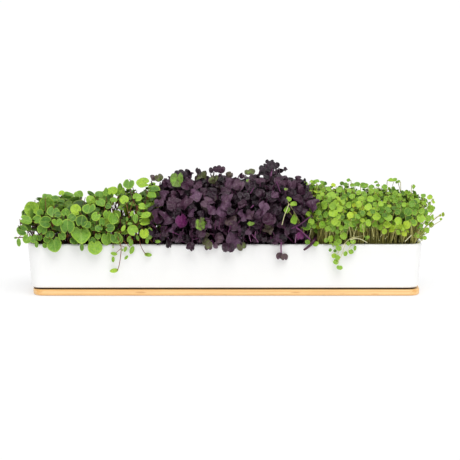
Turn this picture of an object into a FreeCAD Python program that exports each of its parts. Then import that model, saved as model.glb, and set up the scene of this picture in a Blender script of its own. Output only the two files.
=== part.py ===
"""Indoor herb planter: a long glazed ceramic trough on a bamboo drip tray, sown with three stands of seedlings.

Frame: X along the trough, -Y towards the viewer, +Z up. The origin is the middle of the tray's underside.
Lengths are in millimetres. The trough stands on its foot ring in the tray's pocket, at the left end of its
play there, and water leaves it through the holes in its floor, each covered by a mesh screen. The potting mix
fills the trough, and the seedlings grow from it: round leaves on the left, purple radish in the middle, cress
on the right.
"""

import FreeCAD, Part
import math
import os
import random
from FreeCAD import Placement, Rotation, Vector

# Trough, white glazed stoneware, slip cast
rim_length = 420.0
rim_width = 84.0
rim_corner_radius = 16.0
wall_taper = 4.0
wall_thickness = 5.0
body_height = 48.4
floor_thickness = 5.5
base_edge_radius = 4.0
inner_floor_radius = 6.0
lip_radius = 2.2
foot_inset = 9.0
foot_width = 5.0
foot_height = 5.8
foot_corner_radius = 8.0

# Drainage through the trough's floor
drain_count = 3
drain_spacing = 130.0
drain_radius = 4.5
screen_radius = 11.0
screen_thickness = 1.2
screen_edge_width = 1.2
screen_mesh_radius = 0.9
screen_mesh_pitch = 2.8
screen_clearance = 0.3

# Drip tray, milled from laminated bamboo
tray_corner_radius = 12.0
tray_edge_radius = 2.4
tray_lip_radius = 0.8
pocket_clearance = 1.0
pocket_play = 1.6
pocket_depth = 5.0
pocket_floor = 1.8
pocket_floor_radius = 0.8

# Potting mix
mix_clearance = 0.3
mix_below_rim = 7.0
mix_edge_radius = 3.0

# Where the stands of seedlings grow, from the left end of the bed to the right
bed_end_margin = 5.0
bed_side_margin = 9.0
stand_gap = 1.6
seat_gap = 0.3
stem_lean = 3.2
roundleaf_bed_share = 0.335
radish_bed_share = 0.385

# Round leaves on red-brown stems
roundleaf_underside = 7.0
roundleaf_overhang = 8.0
roundleaf_end_overhang = 8.0
roundleaf_place_shares = (0.0, 0.13, 0.5, 0.74, 1.0)
roundleaf_top_heights = (29.0, 41.0, 45.0, 54.0, 57.0)
roundleaf_width_shares = (0.7, 0.92, 1.0, 1.0, 0.98)
roundleaf_radius = 7.6
roundleaf_dish = 2.2
roundleaf_thickness = 0.8
roundleaf_petiole_radius = 0.8
roundleaf_notch_angle = 26.0
roundleaf_stem_radius = 0.8
roundleaf_stem_pitch = 9.0

# Purple radish, two heart-shaped seed leaves to a stem
radish_underside = 5.0
radish_overhang = 6.0
radish_place_shares = (0.0, 0.13, 0.46, 0.74, 1.0)
radish_top_heights = (60.0, 70.0, 69.0, 77.0, 58.0)
radish_width_shares = (0.97, 1.0, 1.0, 1.0, 0.97)
radish_leaf_length = 9.5
radish_leaf_width = 9.5
radish_leaf_thickness = 0.8
radish_leaf_lift = 24.0
radish_petiole_radius = 0.9
radish_stem_radius = 0.9
radish_stem_pitch = 7.5

# Cress, small round leaflets on fine pale stems
cress_underside = 17.0
cress_overhang = 7.0
cress_end_overhang = 9.0
cress_place_shares = (0.0, 0.3, 0.6, 0.87, 1.0)
cress_top_heights = (58.0, 57.0, 54.0, 51.0, 44.0)
cress_width_shares = (0.98, 1.0, 1.0, 0.94, 0.76)
cress_leaflet_radius = 3.3
cress_leaflet_thickness = 0.7
cress_leaflet_count = 3
cress_leaflet_lift = 28.0
cress_petiole_radius = 0.6
cress_stem_radius = 0.55
cress_stem_pitch = 4.5

# How a canopy bulges, and how its leaves stand on it
canopy_waist_share = 0.86
canopy_side_share = 0.34
canopy_shoulder_share = 0.66
canopy_shoulder_height_share = 0.84
short_petiole = 0.8
long_petiole = 6.5
leaf_clearance = 0.4
leaf_size_shares = (0.86, 0.93, 1.0)
tries_per_leaf = 8

# Sprigs that trail over the front rim
trail_stem_radius = 0.6
trail_rim_gap = 2.4
trail_inner_gap = 0.9
trail_leaflet_length = 7.5
trail_leaflet_width = 4.4
trail_leaflet_thickness = 0.6
trail_leaflet_pitch = 6.5
trail_leaflet_slope = 35.0
roundleaf_trail_place_shares = (-0.267, -0.212)
roundleaf_trail_drops = (27.0, 9.0)
radish_trail_place_shares = (0.141,)
radish_trail_drops = (11.0,)
cress_trail_place_shares = (0.285, 0.34)
cress_trail_drops = (24.0, 10.0)

# Cuts run past the faces they open by this much
overrun = 2.0

# Heights and spans that the pieces share
tray_height = pocket_floor + pocket_depth
body_base = pocket_floor + foot_height
rim_height = body_base + body_height
floor_top = body_base + floor_thickness
mix_top = rim_height - mix_below_rim
base_length = rim_length - 2 * wall_taper
base_width = rim_width - 2 * wall_taper
foot_length = base_length - 2 * foot_inset
foot_span = base_width - 2 * foot_inset
bed_half_length = rim_length / 2 - wall_thickness - bed_end_margin
bed_half_width = rim_width / 2 - wall_thickness - bed_side_margin
trail_front = -(rim_width / 2 + trail_rim_gap)

# A fillet never takes more than this share of the side it runs into
fillet_room_share = 0.98

up = Vector(0, 0, 1)
middle = Vector(0, 0, 0)
sowing = random.Random(7)


def rounded_outline(corners, radii):
    """A closed wire in the XZ plane, with each corner rounded as far as its two sides leave room."""
    points = [Vector(x, 0, z) for x, z in corners]
    stretches = []
    for index, here in enumerate(points):
        radius = radii[index]
        if not radius:
            stretches.append((here, None, here))
            continue
        following = (index + 1) % len(points)
        sides = [points[index - 1] - here, points[following] - here]
        room = min(
            side.Length * radius / (radius + other)
            for side, other in zip(sides, (radii[index - 1], radii[following]))
        )
        half_angle = sides[0].getAngle(sides[1]) / 2
        reach = min(radius / math.tan(half_angle), fillet_room_share * room)
        first, last = (here + side.normalize() * reach for side in sides)
        inward = (sides[0] + sides[1]).normalize()
        depth = reach * (1 - math.sin(half_angle)) / math.cos(half_angle)
        stretches.append((first, here + inward * depth, last))
    edges = []
    for index, (first, apex, last) in enumerate(stretches):
        if apex:
            edges.append(Part.Arc(first, apex, last).toShape())
        onward = stretches[(index + 1) % len(stretches)][0]
        edges.append(Part.LineSegment(last, onward).toShape())
    return Part.Wire(edges)


def tub(length, width, corner_radius, corners, radii):
    """A solid with a rounded rectangular outline, whose wall follows one profile all the way round.

    The profile's X runs out from the centre of a rounded corner. The profile turns about that centre at each
    corner and runs straight between them. Its first and last points lie on the centre's axis.
    """
    face = Part.Face(rounded_outline(corners, radii))
    low, high = corners[0][1], corners[-1][1]
    half_x = length / 2 - corner_radius
    half_y = width / 2 - corner_radius
    core = Part.makeBox(2 * half_x, 2 * half_y, high - low, Vector(-half_x, -half_y, low))
    pieces = []
    for quarter in range(4):
        across, along = (half_x, half_y) if quarter % 2 == 0 else (half_y, half_x)
        wall = face.translated(Vector(across, -along, 0)).extrude(Vector(0, 2 * along, 0))
        centre = Vector(across, along, 0)
        corner = face.translated(centre).revolve(centre, up, 90)
        for piece in (wall, corner):
            piece.rotate(middle, up, 90 * quarter)
            pieces.append(piece)
    return core.fuse(pieces).removeSplitter()


def rounded_block(length, width, corner_radius, low, high):
    """An upright block with a rounded rectangular outline."""
    corners = [(0, low), (corner_radius, low), (corner_radius, high), (0, high)]
    return tub(length, width, corner_radius, corners, [0] * 4)


def inner_reach(height):
    """How far the inside of the trough's wall lies from the centre of a rounded corner, at a height."""
    drop_share = (rim_height - height) / body_height
    return rim_corner_radius - wall_thickness - wall_taper * drop_share


def drain_places():
    """Centres of the drain holes, evenly spaced about the middle of the floor."""
    first = -drain_spacing * (drain_count - 1) / 2
    return [first + drain_spacing * index for index in range(drain_count)]


def ceramic_trough():
    """Tapered walls with a rounded lip, a drained floor and an inset foot ring, cast in one."""
    corners = [
        (0, body_base),
        (rim_corner_radius - wall_taper, body_base),
        (rim_corner_radius, rim_height),
        (rim_corner_radius - wall_thickness, rim_height),
        (inner_reach(floor_top), floor_top),
        (0, floor_top),
    ]
    radii = [0, base_edge_radius, lip_radius, lip_radius, inner_floor_radius, 0]
    shell = tub(rim_length, rim_width, rim_corner_radius, corners, radii)
    foot = rounded_block(foot_length, foot_span, foot_corner_radius, pocket_floor, body_base)
    hollow = rounded_block(
        foot_length - 2 * foot_width,
        foot_span - 2 * foot_width,
        max(foot_corner_radius - foot_width, foot_corner_radius / 2),
        pocket_floor - overrun,
        body_base,
    )
    shell = shell.fuse(foot.cut(hollow)).removeSplitter()
    cuts = []
    for place in drain_places():
        hole_base = Vector(place, 0, body_base - overrun)
        cuts.append(Part.makeCylinder(drain_radius, floor_thickness + 2 * overrun, hole_base))
        seat_base = Vector(place, 0, floor_top - screen_thickness)
        cuts.append(Part.makeCylinder(screen_radius + screen_clearance, screen_thickness + overrun, seat_base))
    return shell.cut(cuts)


def drain_screen(place):
    """A round plastic mesh, laid in its seat over one drain hole."""
    base = Vector(place, 0, floor_top - screen_thickness)
    holes = []
    rings = int((screen_radius - screen_edge_width - screen_mesh_radius) / screen_mesh_pitch)
    for ring in range(rings + 1):
        count = max(1, 6 * ring)
        for index in range(count):
            spoke = Vector(screen_mesh_pitch * ring, 0, -overrun)
            spot = base + Rotation(up, 360 * index / count).multVec(spoke)
            holes.append(Part.makeCylinder(screen_mesh_radius, screen_thickness + 2 * overrun, spot))
    return Part.makeCylinder(screen_radius, screen_thickness, base).cut(holes)


def bamboo_tray():
    """A flat board with softened edges, and a pocket that takes the trough's foot ring."""
    corners = [(0, 0), (tray_corner_radius, 0), (tray_corner_radius, tray_height), (0, tray_height)]
    radii = [0, tray_edge_radius, tray_lip_radius, 0]
    board = tub(base_length, base_width, tray_corner_radius, corners, radii)
    pocket_radius = foot_corner_radius + pocket_clearance
    pocket_corners = [
        (0, pocket_floor),
        (pocket_radius, pocket_floor),
        (pocket_radius, tray_height + overrun),
        (0, tray_height + overrun),
    ]
    pocket = tub(
        foot_length + 2 * (pocket_clearance + pocket_play),
        foot_span + 2 * pocket_clearance,
        pocket_radius,
        pocket_corners,
        [0, pocket_floor_radius, 0, 0],
    )
    return board.cut(pocket)


def potting_mix():
    """The moist growing medium, which fills the trough to just below its rim."""
    corners = [
        (0, floor_top),
        (inner_reach(floor_top) - mix_clearance, floor_top),
        (inner_reach(mix_top) - mix_clearance, mix_top),
        (0, mix_top),
    ]
    return tub(rim_length, rim_width, rim_corner_radius, corners, [0, inner_floor_radius, mix_edge_radius, 0])


def stem_mass(low_x, high_x, underside):
    """The dense inner stems of one stand, as one block from the mix to the leaves."""
    corner = Vector(low_x, -bed_half_width, mix_top)
    return Part.makeBox(high_x - low_x, 2 * bed_half_width, mix_below_rim + underside, corner)


def leaning_stem(foot, tip, radius):
    """A stem with level ends, so that it stands flat on the mix and meets the canopy face to face."""
    rings = [Part.Wire(Part.Circle(point, up, radius).toShape()) for point in (foot, tip)]
    return Part.makeLoft(rings, True, True)


def outer_stems(low_x, high_x, ends, underside, pitch, radius):
    """The outermost stems round the open sides of one stand, which lean out to the light."""
    seat = radius + seat_gap
    front = (Vector(low_x, -bed_half_width - seat, mix_top), Vector(high_x, -bed_half_width - seat, mix_top))
    back = (Vector(high_x, bed_half_width + seat, mix_top), Vector(low_x, bed_half_width + seat, mix_top))
    lines = [front, back]
    if -1 in ends:
        left = low_x - seat
        lines.append((Vector(left, bed_half_width, mix_top), Vector(left, -bed_half_width, mix_top)))
    if 1 in ends:
        right = high_x + seat
        lines.append((Vector(right, -bed_half_width, mix_top), Vector(right, bed_half_width, mix_top)))
    stems = []
    for first, last in lines:
        along = last - first
        count = int(along.Length / pitch)
        outward = Vector(along.y, -along.x, 0).normalize()
        slack_share = (1 - 2 * radius / pitch) / 4
        for index in range(count):
            place = index + 1 / 2 + sowing.uniform(-slack_share, slack_share)
            foot = first + along * (place / count)
            tip = foot + outward * (stem_lean * sowing.uniform(1 / 2, 1))
            stems.append(leaning_stem(foot, tip + up * (mix_below_rim + underside), radius))
    return stems


def canopy_section(x, underside, top, half_width, width_share):
    """Cross-section of a canopy at one place along the trough: flat below, bulging sides, domed top."""
    low = rim_height + underside
    rise = top - underside
    widest = half_width * width_share
    waist = widest * canopy_waist_share
    shoulder = widest * canopy_shoulder_share
    side_height = low + rise * canopy_side_share
    shoulder_height = low + rise * canopy_shoulder_height_share
    front = [Vector(x, -waist, low), Vector(x, -widest, side_height), Vector(x, -shoulder, shoulder_height)]
    back = [Vector(x, -point.y, point.z) for point in reversed(front)]
    return Part.Wire(
        [
            Part.LineSegment(back[2], front[0]).toShape(),
            Part.Arc(*front).toShape(),
            Part.Arc(front[2], Vector(x, 0, low + rise), back[0]).toShape(),
            Part.Arc(*back).toShape(),
        ]
    )


def canopy(low_x, high_x, underside, place_shares, top_heights, half_width, width_shares):
    """The mass of leaves of one stand, lofted through its cross-sections from left to right."""
    sections = []
    for place_share, top, width_share in zip(place_shares, top_heights, width_shares):
        x = low_x + (high_x - low_x) * place_share
        sections.append(canopy_section(x, underside, top, half_width, width_share))
    return Part.makeLoft(sections, True, False)


def petiole(length, radius):
    """A leaf's own short stalk, standing on the origin."""
    return Part.makeCylinder(radius, length)


def round_leaf(stalk):
    """A round dished leaf on a stalk, with the notch where the stalk meets the blade."""
    outer_radius = (roundleaf_radius**2 + roundleaf_dish**2) / (2 * roundleaf_dish)
    centre = Vector(0, 0, stalk + outer_radius)
    rim_angle = math.degrees(math.asin(roundleaf_radius / outer_radius))
    below, above = (
        [
            centre + Rotation(Vector(0, -1, 0), angle).multVec(Vector(0, 0, -radius))
            for angle in (0, rim_angle / 2, rim_angle)
        ]
        for radius in (outer_radius, outer_radius - roundleaf_thickness)
    )
    outline = Part.Wire(
        [
            Part.Arc(*below).toShape(),
            Part.LineSegment(below[2], above[2]).toShape(),
            Part.Arc(*reversed(above)).toShape(),
            Part.LineSegment(above[0], below[0]).toShape(),
        ]
    )
    blade = Part.Face(outline).revolve(middle, up, 360)
    tip = Vector(2 * roundleaf_petiole_radius, 0, stalk)
    far = Vector(roundleaf_radius + overrun, 0, 0)
    turns = (Rotation(up, side * roundleaf_notch_angle / 2) for side in (-1, 1))
    edges = [tip] + [tip + turn.multVec(far) for turn in turns]
    notch = Part.Face(Part.makePolygon(edges + edges[:1]))
    notch = notch.extrude(up * (roundleaf_dish + roundleaf_thickness + overrun))
    return blade.cut(notch).fuse(petiole(stalk + roundleaf_thickness / 2, roundleaf_petiole_radius))


def mirrored_blade(arcs, thickness):
    """A flat leaf blade, the same on both sides of the X axis, from the arcs of one side."""
    edges = []
    for side in (1, -1):
        for points in arcs:
            edges.append(Part.Arc(*(Vector(x, side * y, 0) for x, y in points)).toShape())
    return Part.Face(Part.Wire(Part.__sortEdges__(edges))).extrude(up * thickness)


def heart_blade(length, width, thickness):
    """A heart-shaped seed leaf, its point at the origin and its notch at the far end."""
    flank_shares = [(0, 0), (0.38, 0.44), (0.78, 0.5)]
    lobe_shares = [(0.78, 0.5), (1.0, 0.27), (0.84, 0)]
    arcs = [[(x * length, y * width) for x, y in shares] for shares in (flank_shares, lobe_shares)]
    return mirrored_blade(arcs, thickness)


def oval_blade(length, width, thickness):
    """A small pointed leaflet, its stalk end at the origin."""
    return mirrored_blade([[(0, 0), (length / 2, width / 2), (length, 0)]], thickness)


def lifted_blades(blade, count, lift, stalk, radius):
    """Blades spread evenly round the tip of a stalk and lifted at their far ends, in one with it."""
    leaf = petiole(stalk, radius)
    for index in range(count):
        piece = blade.copy()
        piece.rotate(middle, Vector(0, 1, 0), -lift)
        piece.rotate(middle, up, 360 * index / count)
        piece.translate(up * (stalk - radius / 2))
        leaf = leaf.fuse(piece)
    return leaf


def radish_leaf(stalk):
    """A pair of heart-shaped seed leaves on one stalk."""
    blade = heart_blade(radish_leaf_length, radish_leaf_width, radish_leaf_thickness)
    return lifted_blades(blade, 2, radish_leaf_lift, stalk, radish_petiole_radius)


def cress_leaf(stalk):
    """A tuft of small round leaflets on one stalk."""
    hub = Vector(cress_leaflet_radius, 0, 0)
    blade = Part.makeCylinder(cress_leaflet_radius, cress_leaflet_thickness, hub)
    return lifted_blades(blade, cress_leaflet_count, cress_leaflet_lift, stalk, cress_petiole_radius)


def lies_under(low, high, reach, depth, stalk_radius):
    """Whether one leaf lies wholly below the blade of another and beside its stalk."""
    low_crown, low_normal = low
    high_crown, high_normal = high
    offset = low_crown - high_crown
    height = offset.dot(high_normal)
    beside = (offset - high_normal * height).Length
    tilt = low_normal.getAngle(high_normal)
    highest = height + depth * math.cos(tilt) + reach * math.sin(tilt)
    return highest + leaf_clearance < 0 and beside > reach + stalk_radius + leaf_clearance


def meets_rim(crown, reach):
    """Whether a leaf could touch the trough, over its rim and not out beyond it."""
    room = reach + leaf_clearance
    is_low = crown.z - room < rim_height
    is_within = abs(crown.x) - room < rim_length / 2 and abs(crown.y) - room < rim_width / 2
    return is_low and is_within


def canopy_leaves(leaf_mass, low_x, high_x, ends, sizes, keep_clear):
    """Leaves scattered over a canopy's open faces, each one clear of the rest and of the next stand."""
    reach, depth, stalk_radius = sizes["leaf_reach"], sizes["leaf_depth"], sizes["petiole_radius"]
    inner_low = low_x if -1 in ends else low_x + reach + leaf_clearance
    inner_high = high_x if 1 in ends else high_x - reach - leaf_clearance
    models = []
    for stalk in (short_petiole, long_petiole):
        for size_share in leaf_size_shares:
            model = sizes["leaf"](stalk)
            model.scale(size_share)
            models.append((stalk * size_share, model))
    leaves, set_out = [], []
    for face in leaf_mass.Faces:
        low_u, high_u, low_v, high_v = face.ParameterRange
        centre_normal = face.normalAt((low_u + high_u) / 2, (low_v + high_v) / 2)
        is_underside = centre_normal.z < -1 / 2
        is_inner_end = abs(centre_normal.x) > 0.9 and not any(centre_normal.x * end > 0 for end in ends)
        if is_underside or is_inner_end:
            continue
        tries = int(tries_per_leaf * face.Area / reach**2)
        for _ in range(tries):
            seat_u, seat_v = sowing.uniform(low_u, high_u), sowing.uniform(low_v, high_v)
            stalk, model = models[sowing.randrange(len(models))]
            seat, normal = face.valueAt(seat_u, seat_v), face.normalAt(seat_u, seat_v)
            leaf = (seat + normal * (seat_gap + stalk), normal)
            if not inner_low < leaf[0].x < inner_high or meets_rim(leaf[0], reach):
                continue
            if any(leaf[0].distanceToPoint(spot) < 2 * reach for spot in keep_clear):
                continue
            if all(
                leaf[0].distanceToPoint(other[0]) > 2 * reach + leaf_clearance
                or lies_under(leaf, other, reach, depth, stalk_radius)
                or lies_under(other, leaf, reach, depth, stalk_radius)
                for other in set_out
            ):
                set_out.append(leaf)
                placed = model.copy()
                spin = Rotation(up, sowing.uniform(0, 360))
                placed.Placement = Placement(seat + normal * seat_gap, Rotation(up, normal).multiply(spin))
                leaves.append(placed)
    return leaves


def trailing_stem(x, drop, underside):
    """A stem that rises from the mix, bends over the front rim under the leaves and hangs down outside."""
    inside = -(rim_width / 2 - wall_thickness) + wall_taper * mix_below_rim / body_height + trail_inner_gap
    bend = (inside - trail_front) / 2
    turn_height = rim_height + underside - seat_gap - trail_stem_radius - bend
    foot = Vector(x, inside, mix_top)
    path = Part.Wire(
        [
            Part.LineSegment(foot, Vector(x, inside, turn_height)).toShape(),
            Part.Arc(
                Vector(x, inside, turn_height),
                Vector(x, inside - bend, turn_height + bend),
                Vector(x, trail_front, turn_height),
            ).toShape(),
            Part.LineSegment(Vector(x, trail_front, turn_height), Vector(x, trail_front, rim_height - drop)).toShape(),
        ]
    )
    ring = Part.Wire(Part.Circle(foot, up, trail_stem_radius).toShape())
    return path.makePipeShell([ring], True, False)


def trailing_leaflets(x, drop):
    """Leaflets to the left and the right of a trailing stem by turns, and one that hangs from its end."""
    blade = oval_blade(trail_leaflet_length, trail_leaflet_width, trail_leaflet_thickness)
    upright = Rotation(Vector(1, 0, 0), 90)
    end = Vector(x, trail_front - trail_stem_radius - seat_gap, rim_height - drop)
    slopes = [90]
    pairs = max(1, int(drop / trail_leaflet_pitch))
    for index in range(pairs):
        slopes.append(trail_leaflet_slope if index % 2 else 180 - trail_leaflet_slope)
    leaflets = []
    for index, slope in enumerate(slopes):
        leaflet = blade.copy()
        turn = Rotation(Vector(0, 1, 0), slope).multiply(upright)
        leaflet.Placement = Placement(end + up * (trail_leaflet_pitch * index), turn)
        leaflets.append(leaflet)
    return leaflets


def export(name, shape, is_seated=True):
    """Writes one node, a single solid or a group, moved to where the trough is seated unless it is the tray."""
    group = Part.makeCompound(shape) if isinstance(shape, list) else shape
    if is_seated:
        group = group.translated(Vector(-pocket_play, 0, 0))
    group.exportStep(os.path.join("parts", name + ".step"))


def stand(name, low_x, high_x, ends, sizes, trail_place_shares, trail_drops):
    """One sown stand: dense inner stems, the canopy over them, outer stems, leaves and trailing sprigs."""
    underside = sizes["underside"]
    end_reach = wall_thickness + bed_end_margin + sizes["end_overhang"]
    canopy_low = low_x - end_reach if -1 in ends else low_x
    canopy_high = high_x + end_reach if 1 in ends else high_x
    half_width = rim_width / 2 + sizes["overhang"]
    leaf_mass = canopy(
        canopy_low,
        canopy_high,
        underside,
        sizes["place_shares"],
        sizes["top_heights"],
        half_width,
        sizes["width_shares"],
    )
    trail_places = [rim_length * share for share in trail_place_shares]
    over_rim = Vector(0, trail_front, rim_height + underside)
    keep_clear = [over_rim + Vector(place, 0, 0) for place in trail_places]
    export(name + "_stem_mass", stem_mass(low_x, high_x, underside))
    export(name + "_canopy", leaf_mass)
    stems = outer_stems(low_x, high_x, ends, underside, sizes["stem_pitch"], sizes["stem_radius"])
    export(name + "_stems", stems)
    export(name + "_leaves", canopy_leaves(leaf_mass, canopy_low, canopy_high, ends, sizes, keep_clear))
    trails = list(zip(trail_places, trail_drops))
    export(name + "_trailing_stems", [trailing_stem(place, drop, underside) for place, drop in trails])
    leaflets = [leaflet for place, drop in trails for leaflet in trailing_leaflets(place, drop)]
    export(name + "_trailing_leaflets", leaflets)


def stands():
    """The three stands side by side along the bed, each on its share of it."""
    bed_length = 2 * bed_half_length
    first_edge = -bed_half_length + bed_length * roundleaf_bed_share
    second_edge = first_edge + bed_length * radish_bed_share
    roundleaf = {
        "underside": roundleaf_underside,
        "overhang": roundleaf_overhang,
        "end_overhang": roundleaf_end_overhang,
        "place_shares": roundleaf_place_shares,
        "top_heights": roundleaf_top_heights,
        "width_shares": roundleaf_width_shares,
        "stem_pitch": roundleaf_stem_pitch,
        "stem_radius": roundleaf_stem_radius,
        "leaf": round_leaf,
        "leaf_reach": math.hypot(roundleaf_radius, roundleaf_dish + roundleaf_thickness),
        "leaf_depth": roundleaf_dish + roundleaf_thickness,
        "petiole_radius": roundleaf_petiole_radius,
    }
    radish = {
        "underside": radish_underside,
        "overhang": radish_overhang,
        "end_overhang": 0,
        "place_shares": radish_place_shares,
        "top_heights": radish_top_heights,
        "width_shares": radish_width_shares,
        "stem_pitch": radish_stem_pitch,
        "stem_radius": radish_stem_radius,
        "leaf": radish_leaf,
        "leaf_reach": radish_leaf_length,
        "leaf_depth": radish_leaf_length * math.sin(math.radians(radish_leaf_lift)) + radish_leaf_thickness,
        "petiole_radius": radish_petiole_radius,
    }
    cress = {
        "underside": cress_underside,
        "overhang": cress_overhang,
        "end_overhang": cress_end_overhang,
        "place_shares": cress_place_shares,
        "top_heights": cress_top_heights,
        "width_shares": cress_width_shares,
        "stem_pitch": cress_stem_pitch,
        "stem_radius": cress_stem_radius,
        "leaf": cress_leaf,
        "leaf_reach": 2 * cress_leaflet_radius,
        "leaf_depth": 2 * cress_leaflet_radius * math.sin(math.radians(cress_leaflet_lift)) + cress_leaflet_thickness,
        "petiole_radius": cress_petiole_radius,
    }
    half_gap = stand_gap / 2
    stand(
        "roundleaf",
        -bed_half_length,
        first_edge - half_gap,
        (-1,),
        roundleaf,
        roundleaf_trail_place_shares,
        roundleaf_trail_drops,
    )
    stand(
        "radish",
        first_edge + half_gap,
        second_edge - half_gap,
        (),
        radish,
        radish_trail_place_shares,
        radish_trail_drops,
    )
    stand(
        "cress",
        second_edge + half_gap,
        bed_half_length,
        (1,),
        cress,
        cress_trail_place_shares,
        cress_trail_drops,
    )


os.makedirs("parts", exist_ok=True)
export("bamboo_tray", bamboo_tray(), is_seated=False)
export("ceramic_trough", ceramic_trough())
for side, place in enumerate(drain_places()):
    export(f"drain_screen_{side + 1}", drain_screen(place))
export("potting_mix", potting_mix())
stands()
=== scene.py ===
"""Indoor herb planter: a white glazed trough on a bamboo tray, sown with round leaves, radish and cress."""

import math

import bpy
import numpy as np
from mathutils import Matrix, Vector
from mathutils.bvhtree import BVHTree


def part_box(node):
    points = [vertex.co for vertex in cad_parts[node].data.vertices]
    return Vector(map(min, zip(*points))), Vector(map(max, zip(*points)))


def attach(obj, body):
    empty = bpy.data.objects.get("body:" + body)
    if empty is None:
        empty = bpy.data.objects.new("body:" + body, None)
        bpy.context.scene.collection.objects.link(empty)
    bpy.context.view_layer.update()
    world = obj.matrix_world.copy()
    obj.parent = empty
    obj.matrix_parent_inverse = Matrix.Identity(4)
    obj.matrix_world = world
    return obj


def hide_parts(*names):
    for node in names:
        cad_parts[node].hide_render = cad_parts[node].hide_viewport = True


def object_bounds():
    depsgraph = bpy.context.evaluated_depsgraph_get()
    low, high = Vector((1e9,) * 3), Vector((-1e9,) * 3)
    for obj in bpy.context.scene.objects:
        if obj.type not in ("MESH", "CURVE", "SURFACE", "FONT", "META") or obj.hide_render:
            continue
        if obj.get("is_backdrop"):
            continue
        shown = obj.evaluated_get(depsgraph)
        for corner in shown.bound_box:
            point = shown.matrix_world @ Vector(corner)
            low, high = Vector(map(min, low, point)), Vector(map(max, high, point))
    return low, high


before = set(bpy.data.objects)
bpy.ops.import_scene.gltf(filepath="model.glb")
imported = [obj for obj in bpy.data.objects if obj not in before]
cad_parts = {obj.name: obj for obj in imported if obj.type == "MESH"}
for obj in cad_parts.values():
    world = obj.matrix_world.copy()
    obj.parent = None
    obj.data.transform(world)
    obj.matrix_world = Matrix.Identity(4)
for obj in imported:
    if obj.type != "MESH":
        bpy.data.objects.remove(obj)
cad_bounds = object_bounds()

# The camera stands far in front of the planter, on the -Y side, and looks down on it by a few degrees.
# The photograph is square, and the trough's front is 394 of its 460 pixels long.
trough_low, trough_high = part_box("ceramic_trough")
rim_height = trough_high.z
frame_pixels = 460
rim_pixels = 394
view_distance = 2.6
view_tilt = math.radians(8.0)
view_side = 0.0039
view_height = 0.0655
sensor_width = 36.0
sight_limit = 20.0
corner_radius = 0.016

camera = bpy.data.objects.new("camera", bpy.data.cameras.new("camera"))
bpy.context.scene.collection.objects.link(camera)
frame_width = (trough_high.x - trough_low.x) * frame_pixels / rim_pixels
front_distance = view_distance + (trough_low.y + corner_radius) * math.cos(view_tilt)
camera.data.sensor_width = sensor_width
camera.data.lens = sensor_width * front_distance / frame_width
camera.data.clip_end = sight_limit
camera.location = (
    view_side,
    -view_distance * math.cos(view_tilt),
    view_height + view_distance * math.sin(view_tilt),
)
camera.rotation_euler = (math.pi / 2 - view_tilt, 0, 0)
bpy.context.scene.camera = camera


# Drip tray: a thin board milled from strips of bamboo glued side by side, sanded and oiled.
# It stands on the sill, and its pocket holds the trough's foot. The strips run along it.
def linear(colour):
    """The linear colour of an sRGB hex value, as red, green, blue and alpha."""
    channels = [int(colour[i : i + 2], 16) / 255 for i in (1, 3, 5)]
    return [c / 12.92 if c <= 0.04045 else ((c + 0.055) / 1.055) ** 2.4 for c in channels] + [1.0]


def add(tree, kind, settings, *sockets):
    """Adds a shader node with its settings, and gives its sockets their values or links. Returns its outputs.

    A setting that holds a list of places and hex colours fills the node's colour ramp. A socket is a pair of
    its name or number and a value, a hex colour or another node's output.
    """
    node = tree.nodes.new("ShaderNode" + kind)
    for name, value in settings.items():
        if name != "stops":
            setattr(node, name, value)
            continue
        points = node.color_ramp.elements
        while len(points) < len(value):
            points.new(1.0)
        for point, (place, colour) in zip(points, value):
            point.position = place
            point.color = linear(colour)
    for name, value in sockets:
        if isinstance(value, bpy.types.NodeSocket):
            tree.links.new(value, node.inputs[name])
        else:
            node.inputs[name].default_value = linear(value) if isinstance(value, str) else value
    return node.outputs


def surface(name, **values):
    """A new material with one Principled shader, and the values that are the same all over it."""
    material = bpy.data.materials.new(name)
    material.use_nodes = True
    tree = material.node_tree
    shader = tree.nodes["Principled BSDF"]
    for socket, value in values.items():
        shader.inputs[socket].default_value = value
    return material, tree, shader


def wear(obj, material):
    """Gives every face of an object one material."""
    obj.data.materials.clear()
    obj.data.materials.append(material)


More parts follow.
